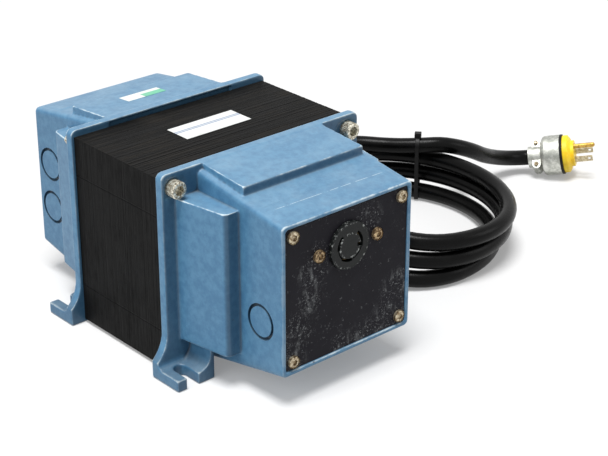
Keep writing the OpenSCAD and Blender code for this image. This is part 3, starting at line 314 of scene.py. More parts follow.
def softCopy(node, name, width, material):
    # A CAD node with its edges eased, in place of that node
    made = place(name, cadMesh(node, easing["dissolve"]), material)
    smoothShade(made.data, easing["angle"])
    bevel = made.modifiers.new("easedEdges", "BEVEL")
    bevel.width = width * mm
    bevel.segments = easing["steps"]
    bevel.limit_method = "ANGLE"
    bevel.angle_limit = math.radians(easing["angle"])
    bevel.use_clamp_overlap = True
    weigh = made.modifiers.new("flatFaces", "WEIGHTED_NORMAL")
    weigh.keep_sharp = True
    settle(made)
    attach(made, "root")
    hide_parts(node)


# Cord, along the route of part.scad

cordPlan = {
    "thick": 15.5, "play": 0.1, "sides": 6, "spanPoints": 4, "coilStep": 5,
    "centreX": [195.5, 210, 217, 217], "centreY": 5, "front": [105, 110, 112, 112], "back": 105,
    "right": [107, 100, 93, 93], "left": [82, 91, 94, 84], "level": [8, 24.2, 40.4, 56.6],
    "start": -75, "end": 925, "climbFrom": 110, "climbOver": 90,
    "lead": [[105, 137.2, 66.6], [120, 137, 66.4], [135, 136.2, 63.4], [150, 134.2, 55],
             [165, 130.8, 40.5], [180, 126, 24.5], [195, 120, 13], [208, 114, 9]],
    "tail": [[148, 64.5, 56.8], [159, 81, 57], [172, 94, 57.2], [189.5, 103.5, 57.4], [213, 107.5, 57.3],
             [236, 102.5, 56.4], [254, 91, 55], [267, 76.5, 54.4], [278, 61, 55.4], [290.5, 46, 57],
             [305.5, 34, 57.3], [322, 26.2, 52.6], [340, 23.8, 44.4], [357, 26.3, 35],
             [374, 30.2, 26.9], [391, 31.6, 20.5], [406.3, 28.9, 16.8], [420.6, 19.8, 16.4]],
    "plugAxis": [0.57699, -0.79416, 0.19081], "plugIn": 20,
    "glandX": 99, "exitY": 137.2, "exitZ": 66.6, "insideX": 74, "jacketX": 50}


def smoothStep(t):
    return 0 if t <= 0 else 1 if t >= 1 else t * t * (3 - 2 * t)


def coilPoint(plan, angle):
    turn = max(0, min(2, math.floor((angle - plan["climbFrom"]) / 360)))
    level = turn + smoothStep((angle - plan["climbFrom"] - 360 * turn) / plan["climbOver"])
    low = min(2, math.floor(level))
    value = {key: plan[key][low] + (level - low) * (plan[key][low + 1] - plan[key][low])
             for key in ("centreX", "right", "left", "front", "level")}
    c, s = math.cos(math.radians(angle)), math.sin(math.radians(angle))
    reach = value["right"] if c >= 0 else value["left"]
    deep = value["front"] if s >= 0 else plan["back"]
    return [value["centreX"] + reach * c, plan["centreY"] - deep * s, value["level"]]


def through(points):
    # A smooth line through the points, for a route without corners
    pieces = cordPlan["spanPoints"]
    points = np.array(points, float)
    ends = np.vstack([2 * points[0] - points[1], points, 2 * points[-1] - points[-2]])
    line = []
    for a, b, c, d in zip(ends[:-3], ends[1:-2], ends[2:-1], ends[3:]):
        for t in np.arange(pieces) / pieces:
            line.append(0.5 * (2 * b + (c - a) * t + (2 * a - 5 * b + 4 * c - d) * t * t
                               + (3 * b - a - 3 * c + d) * t ** 3))
    return line + [points[-1]]


def cordPiece(name, line, material):
    curve = bpy.data.curves.new(name, "CURVE")
    curve.dimensions = "3D"
    curve.bevel_depth = (cordPlan["thick"] - cordPlan["play"]) / 2 * mm
    curve.bevel_resolution = cordPlan["sides"]
    curve.use_fill_caps = True
    spline = curve.splines.new("POLY")
    spline.points.add(len(line) - 1)
    for point, at in zip(spline.points, line):
        point.co = (at[0] * mm, at[1] * mm, at[2] * mm, 1)
    spline.use_smooth = True
    curve.materials.append(material)
    made = bpy.data.objects.new(name, curve)
    bpy.context.scene.collection.objects.link(made)
    return made


rubber = Finish("cordRubber", shine=0.11)
scuff = rubber.step(rubber.noise(26, 4, 0.6), 0.52, 0.72)
grit = rubber.noise(900, 2)
rubber.give(colour=rubber.mix(scuff * 0.5, linear(8, 8, 8), linear(21, 21, 20)),
            rough=0.22 + 0.2 * scuff + 0.08 * grit,
            normal=rubber.bump(grit * 0.4 + rubber.noise(60, 2) * 0.6, 0.0005, 0.35))

plan = cordPlan
coilTurns = [*range(plan["start"], plan["end"], plan["coilStep"]), plan["end"]]
coilLine = [coilPoint(plan, a) for a in coilTurns]
exitPlace = [plan["exitY"], plan["exitZ"]]
leadPoints = [[plan["insideX"], *exitPlace]] + plan["lead"] + [coilLine[0]]
plugDeep = (np.array(plan["tail"][-1]) + plan["plugIn"] * np.array(plan["plugAxis"])).tolist()
tailPoints = [coilLine[-1]] + plan["tail"] + [plugDeep]
# A point before and after gives the joins their direction
joint = plan["spanPoints"] + 1
leadLine = through(leadPoints + [coilLine[3]])[:-joint]
tailLine = through([coilLine[-4]] + tailPoints)[joint:]
cordLine = leadLine + coilLine + tailLine
powerCord = cordPiece("powerCord", cordLine, rubber.material)
jacketEnd = cordPiece("cordJacketEnd", [[x, *exitPlace] for x in (plan["jacketX"], plan["insideX"])],
                      rubber.material)
for piece in (powerCord, jacketEnd):
    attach(piece, "root")
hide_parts("cord_lead", "cord_coil", "cord_tail")


# Materials of the shown pieces

knockouts = {"front": [(-1, -137.2, 66.6), (1, -143.7, 66.6), (1, -143.7, 107.0)],
             "rear": [(-1, 143.7, 66.6), (-1, 143.7, 107.0)],
             "radius": 13.8, "wide": 2.6, "deep": 3.0, "wallX": 67.0, "shadow": 2.7}
bellPaint = {"face": (82, 133, 168), "deep": (66, 116, 153), "worn": (206, 222, 228), "shadeAndGrime": (12, 32, 50),
             "dust": (196, 214, 220), "iron": (44, 46, 48), "groove": (12, 22, 32),
             "castScale": 420, "castDepth": 0.00032,
             "behindY": (-158, -150), "lowShadeTop": (12, 36), "chip": (-35.4, -163.0, 30.5), "chipReach": 1.8,
             "scratchY": -141.5, "scratchLean": 0.02, "scratchWide": (0.1, 0.3), "scratchEnd": (56, 50)}


def enamelFinish():
    p = bellPaint
    f = Finish("blueEnamel", shine=0.5)
    broad, fine = f.noise(9, 4, 0.6), f.noise(160, 4, 0.65)
    colour = f.mix(f.step(broad * 0.35 + fine * 0.65, 0.38, 0.62), linear(*p["face"]), linear(*p["deep"]))
    # Pale rubbed edges, and the corners darkened with dirt and painted shade
    patch = f.noise(55, 4, 0.7)
    along, up = f.facing()[1:]
    rub = f.step(f.attribute("edgeWear") + (patch - 0.5) * 1.1, 0.44, 0.74)
    rub = rub * (0.25 + 0.75 * f.step(up, 0.0, 0.5))
    dirtAndShade = f.step(f.attribute("crevice") + (patch - 0.5) * 0.3, 0.18, 0.85)
    chips = f.step(f.cells(95), 0.075, 0.045) * f.step(f.noise(14, 2), 0.60, 0.66)
    colour = f.mix(rub * 0.85, colour, linear(*p["worn"]))
    colour = f.mix(dirtAndShade * 0.8, colour, linear(*p["shadeAndGrime"]))
    # Painted shade in the hollows, deepest on faces turned to the front, and painted shadow on the low parts
    # near the feet
    x, y, z = f.parts(f.place)
    forward = f.step(-along, 0.3, 0.9)
    behind, soil = [[v * mm for v in p[key]] for key in ("behindY", "lowShadeTop")]
    shade = f.step(f.attribute("hollow"), 0.10, 0.9) * (0.35 + 0.5 * forward)
    shade = shade.high(forward * f.step(y, *behind) * 0.55)
    # Painted shadow: the low parts near the floor darker, most on faces turned up
    shade = shade.high((1 - f.step(z, *soil)) * (0.25 + 0.35 * f.step(up, 0.4, 0.8)))
    colour = f.mix(shade, colour, linear(*p["shadeAndGrime"]))
    # One long scratch across the roof of the front bell
    wide, end = [[v * mm for v in p[key]] for key in ("scratchWide", "scratchEnd")]
    long = 1 - f.step((y - p["scratchY"] * mm + x * p["scratchLean"]).size(), *wide)
    long = long * f.step(up, 0.5, 0.8) * f.step(f.noise(1, 3, 0.7, f.stretched((110, 20, 20))), 0.38, 0.48)
    colour = f.mix(long * f.step(x.size(), *end) * 0.8, colour, linear(*p["worn"]))
    # Bare iron where the paint is chipped off
    chips = chips.high(f.spot([c * mm for c in p["chip"]], p["chipReach"] * mm))
    colour = f.mix(chips * 0.9, colour, linear(*p["iron"]))
    # Painted shadow in the knockouts' grooves
    k = knockouts
    shadow = k["shadow"] * mm
    for side, midY, midZ in k["front"] + k["rear"]:
        away = ((y - midY * mm) * (y - midY * mm) + (z - midZ * mm) * (z - midZ * mm)) ** 0.5
        ring = f.step((away - k["radius"] * mm).size(), shadow * 0.58, shadow * 0.36)
        ring = ring * f.step(x * side, (k["wallX"] - 7) * mm, (k["wallX"] - 5) * mm)
        colour = f.mix(ring * 0.9, colour, linear(*p["groove"]))
    dust = f.step(up, 0.35, 0.95) * (0.6 + 0.8 * f.step(f.noise(30, 5, 0.7), 0.35, 0.75))
    colour = f.mix(dust * 0.13, colour, linear(*p["dust"]))
    cast = f.noise(p["castScale"], 3, 0.6)
    sag = f.noise(70, 2, 0.5)
    f.give(colour=colour, rough=0.34 + 0.16 * fine + 0.2 * dirtAndShade + 0.1 * rub,
           normal=f.bump(cast * 0.6 + sag * 0.9 - chips * 0.8, p["castDepth"], 0.8))
    return f.material


# Measures of the core, in the CAD model's millimetres
coreStack = {"half": 99, "bottom": 3, "windowLow": 36, "windowHigh": 135, "top": 168, "limb": 33, "gap": 0.1,
             "first": -55.6, "packet": 22.28, "sheets": 16, "thick": 1.28, "step": 1.386, "hole": 5.45,
             "uneven": 0.0012, "topBolts": [(-90, 160.5), (90, 160.5)], "lowBolts": [(-40, 24), (40, 24)]}


def ironFinish():
    # Edges of thin sheets stacked along Y, black varnish with dust
    f = Finish("blackIron", shine=0.07)
    sheets = f.noise(1, 3, 0.6, f.stretched((10, 760, 10)))
    streak = f.noise(1, 4, 0.7, f.stretched((14, 210, 60)))
    up = f.step(f.facing()[2], 0.5, 0.9)
    dust = f.step(streak * 0.6 + f.noise(24, 4, 0.65) * 0.4, 0.45, 0.72)
    colour = f.mix(f.step(sheets, 0.3, 0.7), linear(8, 8, 8), linear(20, 20, 20))
    colour = f.mix(up * dust * 0.7, colour, linear(50, 47, 43))
    # The seams between the E and I sheets
    z = f.parts(f.place)[2]
    seams = [1 - f.step((z - coreStack[key] * mm).size(), 0.3 * mm, 0.9 * mm)
             for key in ("windowLow", "windowHigh")]
    seam = f.strongest(seams) * (1 - up)
    colour = f.mix(seam * 0.85, colour, linear(6, 6, 6))
    f.give(colour=colour, rough=0.52 + 0.25 * dust,
           normal=f.bump(sheets - seam * 1.2, 0.0004, 0.9))
    return f.material


# Rubbed places of the front plate and of the rear one: x, z and reach
plateFace = 161.8
frontScuffs = [(-36.6, 108, 22), (-30, 122, 14), (-52, 62, 24), (-40, 84, 18), (56, 62, 30), (50, 40, 38),
               (22, 32, 28), (-6, 34, 18), (-56, 38, 20), (22, 135, 20)]
rearScuffs = [(46, 50, 24), (-40, 120, 20)]


def coverFinish():
    f = Finish("coverPlateBlack", shine=0.10)
    near = f.strongest([f.spot((x * mm, side * plateFace * mm, z * mm), reach * mm)
                      for side, scuffs in ((-1, frontScuffs), (1, rearScuffs)) for x, z, reach in scuffs])
    specks = f.step(f.noise(620, 5, 0.75), 0.57, 0.67)
    smear = f.step(f.noise(1, 5, 0.7, f.stretched((160, 160, 70))), 0.50, 0.74)
    mark = (specks * 0.9 + smear * 0.5) * f.step(near + f.noise(40, 4, 0.7) - 0.5, 0.05, 0.65)
    loose = f.step(f.noise(300, 4, 0.7), 0.62, 0.72) * 0.30
    mark = mark.high(loose)
    colour = f.mix(f.noise(35, 4, 0.6), linear(21, 20, 25), linear(33, 32, 38))
    colour = f.mix(mark * 0.75, colour, linear(186, 190, 192))
    f.give(colour=colour, rough=0.46 + 0.2 * f.noise(90, 3),
           normal=f.bump(f.noise(420, 3) + mark, 0.00025, 0.6))
    return f.material


def metalFinish(name, bright, dull, rust, rustShare, rough=0.34, grain=300):
    # Plated steel: cloudy plating, dull spots and some rust
    f = Finish(name, metal=1.0)
    cloud, spots = f.noise(grain, 4, 0.65), f.noise(grain * 2.3, 3, 0.6)
    colour = f.mix(f.step(cloud, 0.38, 0.62), linear(*bright), linear(*dull))
    rusty = f.step(spots * 0.6 + cloud * 0.4, 0.66 - rustShare, 0.80 - rustShare)
    colour = f.mix(rusty, colour, linear(*rust))
    f.give(colour=colour, metal=1 - 0.75 * rusty, rough=rough + 0.2 * cloud + 0.25 * rusty,
           normal=f.bump(spots + rusty * 0.5, 0.00015, 0.6))
    return f.material


def plainFinish(name, light, dark, rough, grain=240, metal=0.0, shine=0.5, lines=None):
    # Moulded, wound or woven stuff: two tones and a fine grain, in lines where it is wound
    f = Finish(name, metal=metal, shine=shine)
    fine = f.noise(grain, 4, 0.6)
    if lines:
        fine = fine * 0.4 + f.noise(1, 2, 0.5, f.stretched(lines)) * 0.6
    broad = f.noise(grain / 12, 3)
    f.give(colour=f.mix(f.step(fine * 0.6 + broad * 0.4, 0.38, 0.62), linear(*light), linear(*dark)),
           rough=rough + 0.15 * fine, normal=f.bump(fine, 0.0002, 0.5))
    return f.material


def topLabelFinish():
    f = Finish("topLabelPaper", shine=0.4)
    y = f.parts(f.place)[1]
    line = f.strongest([1 - f.step((y - at * mm).size(), 0.5 * mm, 0.75 * mm) for at in (8.7, 6.5)])
    soil = f.step(f.noise(70, 5, 0.7), 0.50, 0.78)
    colour = f.mix(soil * 0.35, linear(226, 228, 226), linear(170, 166, 156))
    colour = f.mix(line * 0.8, colour, linear(78, 112, 158))
    f.give(colour=colour, rough=0.45 + 0.2 * soil, normal=f.bump(f.noise(120, 3), 0.0003, 0.4))
    return f.material


def rearLabelFinish():
    f = Finish("rearLabelPaper", shine=0.4)
    x, y, z = f.parts(f.place)
    band = f.step(y, 92.6 * mm, 92.2 * mm) * f.step(x, -6.2 * mm, -5.8 * mm)
    soil = f.step(f.noise(70, 5, 0.7), 0.50, 0.78)
    colour = f.mix(band, linear(228, 233, 228), linear(112, 192, 158))
    colour = f.mix(soil * 0.25, colour, linear(180, 180, 170))
    f.give(colour=colour, rough=0.45 + 0.2 * soil, normal=f.bump(f.noise(120, 3), 0.0003, 0.4))
    return f.material


outlet = {"z": 119.6, "rims": [10.2, 18.8], "screwX": 30.15, "shank": 7.5}


def outletFinish():
    # Black moulding with pale specks on its two round rims
    f = Finish("outletBlack", shine=0.16)
    x, y, z = f.parts(f.place)
    away = (x * x + (z - outlet["z"] * mm) * (z - outlet["z"] * mm)) ** 0.5
    rims = [1 - f.step((away - radius * mm).size(), 0.4 * mm, 1.3 * mm) for radius in outlet["rims"]]
    mark = f.strongest(rims) * f.step(f.noise(420, 4, 0.7), 0.54, 0.62)
    colour = f.mix(f.noise(500, 4, 0.6), linear(15, 17, 17), linear(31, 34, 34))
    f.give(colour=f.mix(mark * 0.75, colour, linear(184, 188, 186)), rough=0.34 + 0.2 * mark,
           normal=f.bump(f.noise(700, 3), 0.0002, 0.5))
    return f.material


enamel = enamelFinish()
iron = ironFinish()
coverBlack = coverFinish()
zinc = metalFinish("whiteZinc", (206, 205, 198), (150, 150, 144), (122, 96, 66), 0.10)
oldZinc = metalFinish("wornZinc", (238, 234, 218), (138, 132, 116), (96, 74, 50), 0.15, 0.42, 520)
yellowZinc = metalFinish("yellowZinc", (206, 196, 172), (134, 114, 86), (74, 52, 34), 0.15, 0.4, 420)
rustZinc = metalFinish("rustyZinc", (196, 174, 138), (112, 90, 64), (62, 44, 32), 0.18, 0.46, 420)
brass = metalFinish("brassContacts", (214, 178, 96), (168, 132, 66), (98, 72, 40), 0.02)
darkBrass = metalFinish("darkContacts", (84, 70, 44), (48, 40, 28), (30, 24, 18), 0.10, 0.5)
bladeMetal = metalFinish("bladeMetal", (206, 196, 168), (170, 156, 124), (96, 80, 56), 0.04)
sleeveMetal = metalFinish("plugSleeveZinc", (212, 213, 206), (172, 174, 166), (130, 122, 104),
                          -0.03, 0.32, 160)
canMetal = metalFinish("canAluminium", (214, 216, 218), (180, 182, 184), (150, 150, 148), -0.05, 0.34, 90)
copper = plainFinish("enamelledCopper", (176, 92, 48), (128, 60, 32), 0.28, 300, 0.7, lines=(30, 30, 900))
copperFoil = metalFinish("copperFoil", (214, 138, 96), (176, 104, 66), (110, 66, 44), 0.04, 0.3, 120)
fishPaper = plainFinish("insulationPaper", (196, 180, 140), (168, 148, 108), 0.62, 260, lines=(260, 260, 40))
bobbinNylon = plainFinish("bobbinNylon", (214, 208, 190), (190, 182, 160), 0.42, 180)
greenMetal = metalFinish("greenScrew", (70, 128, 84), (44, 92, 58), (60, 56, 38), 0.06, 0.4, 400)
redWire = plainFinish("redWire", (176, 30, 28), (138, 20, 20), 0.34, 300)
brownWire = plainFinish("brownWire", (92, 56, 36), (66, 40, 26), 0.34, 300)
greenWire = plainFinish("greenWire", (34, 122, 62), (22, 92, 46), 0.34, 300)
blueWire = plainFinish("blueWire", (36, 74, 150), (24, 52, 118), 0.34, 300)
orangePlastic = plainFinish("orangePlastic", (232, 122, 34), (204, 98, 24), 0.36, 260)
blackPlastic = plainFinish("blackPlastic", (15, 15, 16), (27, 27, 27), 0.34, 300, shine=0.25)
outletBlack = outletFinish()
tieNylon = plainFinish("tieNylon", (9, 9, 9), (18, 18, 18), 0.35, 200, shine=0.2)
gasket = plainFinish("gasketRubber", (10, 10, 10), (22, 21, 20), 0.5, 300, shine=0.25)
yellowPlastic = plainFinish("yellowPlastic", (255, 222, 40), (252, 204, 26), 0.34, 260)
topLabel = topLabelFinish()
rearLabel = rearLabelFinish()
print("finishes mixed")

# Castings: voxels give the soft edges and corners of sand-cast iron

casting = {"voxel": 0.85, "rounds": 3, "cornerRounds": 14, "hollowRounds": 150, "share": 0.5,
           "cornerDeep": 0.75, "hollowDeep": 3.2, "keep": 0.30, "fillWide": 2.4, "fillDeep": 3.4,
           "shadeAngle": 48}


def ringSolid(side, y, z, wide, deep, proud):
    # A ring on the box's side wall, its axis along X
    shape = bmesh.new()
    rings = []
    angles = np.radians(np.arange(0, 360, 6))
    x0, x1 = (knockouts["wallX"] - deep) * side, (knockouts["wallX"] + proud) * side
    for x, r in ((x0, -wide), (x1, -wide), (x1, wide), (x0, wide)):
        radius = knockouts["radius"] + r / 2
        circle = [(y + radius * math.cos(a), z + radius * math.sin(a)) for a in angles]
        rings.append([shape.verts.new((x * mm, v * mm, w * mm)) for v, w in circle])
    for i in range(4):
        first, second = rings[i], rings[(i + 1) % 4]
        for k in range(len(first)):
            shape.faces.new((first[k], first[(k + 1) % len(first)], second[(k + 1) % len(first)], second[k]))
    bmesh.ops.recalc_face_normals(shape, faces=shape.faces)
    mesh = bpy.data.meshes.new("ring")
    shape.to_mesh(mesh)
    shape.free()
    return place("ring", mesh)


def cutWith(obj, tools, operation):
    for tool in tools:
        cut = obj.modifiers.new("cut", "BOOLEAN")
        cut.operation = operation
        cut.object = tool
        cut.solver = "MANIFOLD"
    settle(obj)
    for tool in tools:
        bpy.data.objects.remove(tool)


def relaxed(points, edges, rounds):
    # Each point drawn toward the mean of its neighbours
    count = np.bincount(edges.ravel(), minlength=len(points))[:, None]
    for _ in range(rounds):
        total = np.zeros_like(points)
        for axis in range(3):
            total[:, axis] = (np.bincount(edges[:, 0], points[edges[:, 1], axis], len(points))
                              + np.bincount(edges[:, 1], points[edges[:, 0], axis], len(points)))
        points = points + casting["share"] * (total / count - points)
    return points


def castPiece(node, name, grooves):
    made = place(name, cadMesh(node))
    spec = casting
    # The CAD model's own grooves are filled before the voxels, which can't hold them
    filled = [ringSolid(side, y, z, spec["fillWide"], spec["fillDeep"], 0) for side, y, z in grooves]
    cutWith(made, filled, "UNION")
    voxels = made.modifiers.new("voxels", "REMESH")
    voxels.mode = "VOXEL"
    voxels.voxel_size = spec["voxel"] * mm
    settle(made)
    mesh = made.data
    points = np.zeros(len(mesh.vertices) * 3)
    mesh.vertices.foreach_get("co", points)
    points = points.reshape(-1, 3)
    edges = np.zeros(len(mesh.edges) * 2, np.int64)
    mesh.edges.foreach_get("vertices", edges)
    edges = edges.reshape(-1, 2)
    soft = relaxed(points, edges, spec["rounds"])
    far = relaxed(soft, edges, spec["cornerRounds"])
    wide = relaxed(far, edges, spec["hollowRounds"])
    low, high = (np.array(v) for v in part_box(node))
    soft = np.clip(soft, low, high)
    mesh.vertices.foreach_set("co", soft.ravel())
    mesh.update()
    normals = np.zeros(len(points) * 3)
    mesh.vertices.foreach_get("normal", normals)
    normals = normals.reshape(-1, 3)
    bulge = ((soft - far) * normals).sum(1) / mm  # over 0 at edges, under 0 in corners
    sunk = ((wide - soft) * normals).sum(1) / mm
    tree = kdtree.KDTree(len(soft))
    for i, p in enumerate(soft):
        tree.insert(p, i)
    tree.balance()
    thin = made.modifiers.new("thinner", "DECIMATE")
    thin.ratio = spec["keep"]
    settle(made)
    cutWith(made, [ringSolid(side, y, z, knockouts["wide"], knockouts["deep"], 1) for side, y, z in grooves],
            "DIFFERENCE")
    mesh = made.data
    near = np.array([tree.find(v.co)[1] for v in mesh.vertices])
    rows = {"edgeWear": bulge[near] / spec["cornerDeep"], "crevice": -bulge[near] / spec["cornerDeep"],
            "hollow": sunk[near] / spec["hollowDeep"]}
    for title, values in rows.items():
        mesh.attributes.new(title, "FLOAT", "POINT").data.foreach_set("value", np.clip(values, 0, 1))
    mesh.materials.clear()
    mesh.materials.append(enamel)
    keepPiece(made, node, spec["shadeAngle"])
    print(name, "cast with", len(mesh.polygons), "faces")


castPiece("front_bell", "frontBell", knockouts["front"])
castPiece("rear_bell", "rearBell", knockouts["rear"])

# Geometry Nodes trees

def growTree(name, sockets):
    # A node group with named inputs; gives its board and the wires of the inputs
    tree = bpy.data.node_groups.new(name, "GeometryNodeTree")
    tree.interface.new_socket("Geometry", in_out="OUTPUT", socket_type="NodeSocketGeometry")
    for title, kind in [("Geometry", "Geometry")] + sockets:
        tree.interface.new_socket(title, in_out="INPUT", socket_type="NodeSocket" + kind)
    board = Board(tree, "GeometryNode")
    start = tree.nodes.new("NodeGroupInput")
    return board, {o.name: Wire(board, o) for o in start.outputs if o.name}


def endTree(board, geometry, material):
    real = board.add("RealizeInstances", None, {"Geometry": geometry})
    painted = board.add("SetMaterial", None, {"Geometry": real, "Material": material})
    end = board.tree.nodes.new("NodeGroupOutput")
    board.tree.links.new(painted.socket, end.inputs[0])
    return board.tree


def runTree(obj, tree, values):
    # The modifier's inputs are set by identifier before anything is evaluated
    grown = obj.modifiers.new("grown", "NODES")
    grown.node_group = tree
    for item in tree.interface.items_tree:
        if item.in_out == "INPUT" and item.name in values:
            grown[item.identifier] = values[item.name]
    return settle(obj)


def screwTree():
    # Round heads with a hexagon recess and a shank, one at each vertex of the mesh
    board, given = growTree("headedScrews", [
        ("Head Radius", "Float"), ("Head Height", "Float"), ("Dome", "Float"), ("Dome Power", "Float"),
        ("Recess Radius", "Float"), ("Recess Depth", "Float"), ("Shank Radius", "Float"),
        ("Shank Length", "Float"), ("Knurl", "Float"), ("Sides", "Int"), ("Turn", "Vector"),
        ("Seed", "Int"), ("Material", "Material")])
    shader = Board(board.tree, "ShaderNode")
    radius, height = given["Head Radius"], given["Head Height"]
    head = board.add("MeshCylinder", {"fill_type": "TRIANGLE_FAN"},
                     {"Vertices": given["Sides"], "Side Segments": 5, "Fill Segments": 7,
                      "Radius": radius, "Depth": height})
    x, y, z = shader.parts(board.add("InputPosition"))
    away = (x * x + y * y) ** 0.5
    top = board.math("GREATER_THAN", z, height * 0.49)
    drop = top * given["Dome"] * (away / radius) ** given["Dome Power"]
    rim = board.math("GREATER_THAN", away, radius * 0.98)
    band = board.math("LESS_THAN", z.size(), height * 0.32)
    wave = board.math("ARCTAN2", y, x) * given["Sides"] * 0.5
    tooth = board.math("LESS_THAN", board.math("COSINE", wave), 0)
    shrink = rim * band * tooth * given["Knurl"] / radius
    offset = shader.add("CombineXYZ", None, {"X": -x * shrink, "Y": -y * shrink, "Z": height * 0.5 - drop})
    head = board.add("SetPosition", None, {"Geometry": head, "Offset": offset})
    recess = board.add("MeshCylinder", None, {"Vertices": 6, "Radius": given["Recess Radius"],
                                              "Depth": given["Recess Depth"] * 2})
    lift = shader.add("CombineXYZ", None, {"Z": height})
    recess = board.add("Transform", None, {"Geometry": recess, "Translation": lift})
    cut = board.add("MeshBoolean", {"operation": "DIFFERENCE"}, {"Mesh 1": head, "Mesh 2": recess})
    shank = board.add("MeshCylinder", {"fill_type": "NGON"},
                      {"Vertices": 20, "Radius": given["Shank Radius"], "Depth": given["Shank Length"]})
    sink = shader.add("CombineXYZ", None, {"Z": given["Shank Length"] * -0.5 + 0.0001})
    shank = board.add("Transform", None, {"Geometry": shank, "Translation": sink})
    one = board.join(cut, shank)
    many = board.add("InstanceOnPoints", None,
                     {"Points": given["Geometry"], "Instance": one, "Rotation": given["Turn"]})
    spin = Board(board.tree, "FunctionNode").add(
        "RandomValue", {"data_type": "FLOAT"}, {2: 0.0, 3: 6.28, "Seed": given["Seed"]}, 1)
    around = shader.add("CombineXYZ", None, {"Z": spin})
    many = board.add("RotateInstances", None, {"Instances": many, "Rotation": around, "Local Space": True})
    return endTree(board, many, given["Material"])


def sheetTree():
    # One sheet of iron repeated through the packets of a stack
    board, given = growTree("stackedSheets", [
        ("Packets", "Int"), ("Sheets", "Int"), ("Packet Step", "Float"), ("Sheet Step", "Float"),
        ("Start", "Float"), ("Unevenness", "Float"), ("Seed", "Int"), ("Material", "Material")])
    shader = Board(board.tree, "ShaderNode")
    line = board.add("MeshLine", None, {"Count": given["Packets"] * given["Sheets"]})
    index = board.add("InputIndex")
    packet = board.math("FLOOR", (index + 0.5) / given["Sheets"])
    inPacket = index - packet * given["Sheets"]
    y = given["Start"] + packet * given["Packet Step"] + inPacket * given["Sheet Step"]
    line = board.add("SetPosition", None, {"Geometry": line,
                                           "Position": shader.add("CombineXYZ", None, {"Y": y})})
    chance = Board(board.tree, "FunctionNode")
    wide = chance.add("RandomValue", {"data_type": "FLOAT"}, {2: 0.0, 3: 1.0, "Seed": given["Seed"]}, 1)
    tall = chance.add("RandomValue", {"data_type": "FLOAT"}, {2: 0.0, 3: 1.0, "Seed": given["Seed"] + 5}, 1)
    scale = shader.add("CombineXYZ", None, {"X": 1 - wide * given["Unevenness"], "Y": 1.0,
                                            "Z": 1 - tall * given["Unevenness"]})
    many = board.add("InstanceOnPoints", None,
                     {"Points": line, "Instance": given["Geometry"], "Scale": scale})
    return endTree(board, many, given["Material"])


def windingTree():
    # Turns of round wire laid round a rectangular former, over the solid inside them
    board, given = growTree("wireTurns", [
        ("Width", "Float"), ("Depth", "Float"), ("Corner", "Float"), ("Wire", "Float"), ("Bottom", "Float"),
        ("Turns", "Int"), ("Pitch", "Float"), ("Material", "Material")])
    shader = Board(board.tree, "ShaderNode")
    loop = board.add("CurvePrimitiveQuadrilateral", None, {"Width": given["Width"], "Height": given["Depth"]})
    loop = board.add("FilletCurve", {"mode": "POLY"}, {"Curve": loop, "Count": 5, "Radius": given["Corner"]})
    wire = board.add("CurvePrimitiveCircle", None, {"Resolution": 8, "Radius": given["Wire"] * 0.5})
    turn = board.add("CurveToMesh", None, {"Curve": loop, "Profile Curve": wire})
    line = board.add("MeshLine", None, {
        "Count": given["Turns"], "Start Location": shader.add("CombineXYZ", None, {"Z": given["Bottom"]}),
        "Offset": shader.add("CombineXYZ", None, {"Z": given["Pitch"]})})
    many = board.add("InstanceOnPoints", None, {"Points": line, "Instance": turn})
    return endTree(board, board.join(many, given["Geometry"]), given["Material"])


trees = {"screws": screwTree(), "sheets": sheetTree(), "turns": windingTree()}


def screwPiece(name, node, material, spots, turn, seed, sizes):
    mesh = bpy.data.meshes.new(name)
    mesh.from_pydata([[c * mm for c in spot] for spot in spots], [], [])
    made = place(name, mesh)
    counts = ("Dome Power", "Sides")
    values = {key: value if key in counts else value * mm for key, value in sizes.items()}
    runTree(made, trees["screws"], {**values, "Turn": turn, "Seed": seed, "Material": material})
    keepPiece(made, node)


panHead = {"Head Radius": 5.2, "Head Height": 3.0, "Dome": 1.5, "Dome Power": 2.6, "Recess Radius": 2.6,
           "Recess Depth": 1.65, "Shank Radius": 2.4, "Shank Length": 21.0, "Knurl": 0.0, "Sides": 40}
coverScrews = {"x": 56.1, "low": 38.1, "high": 143.4}
cs = coverScrews
corners = [(x, z) for x in (-cs["x"], cs["x"]) for z in (cs["low"], cs["high"])]
screwPiece("frontCoverScrews", "front_cover_screws", yellowZinc,
           [(x, -plateFace, z) for x, z in corners], (math.pi / 2, 0, 0), 4, panHead)
screwPiece("rearCoverScrews", "rear_cover_screws", yellowZinc,
           [(x, plateFace, z) for x, z in corners], (-math.pi / 2, 0, 0), 9, panHead)
screwPiece("outletScrews", "receptacle_screws", rustZinc,
           [(x, -plateFace, outlet["z"]) for x in (-outlet["screwX"], outlet["screwX"])],
           (math.pi / 2, 0, 0), 15, {**panHead, "Shank Length": outlet["shank"]})

tieBolts = {"Head Radius": 7.15, "Head Height": 9.5, "Dome": 0.9, "Dome Power": 14, "Recess Radius": 4.6,
            "Recess Depth": 4.7, "Shank Radius": 4.75, "Shank Length": 135.8, "Knurl": 0.35, "Sides": 60}
headFace = -61.7
screwPiece("tieBoltsUpper", "tie_bolts_upper", oldZinc,
           [(x, headFace, z) for x, z in coreStack["topBolts"]], (math.pi / 2, 0, 0), 21, tieBolts)
print("screws and bolts made")

# Core of alternate E and I sheets

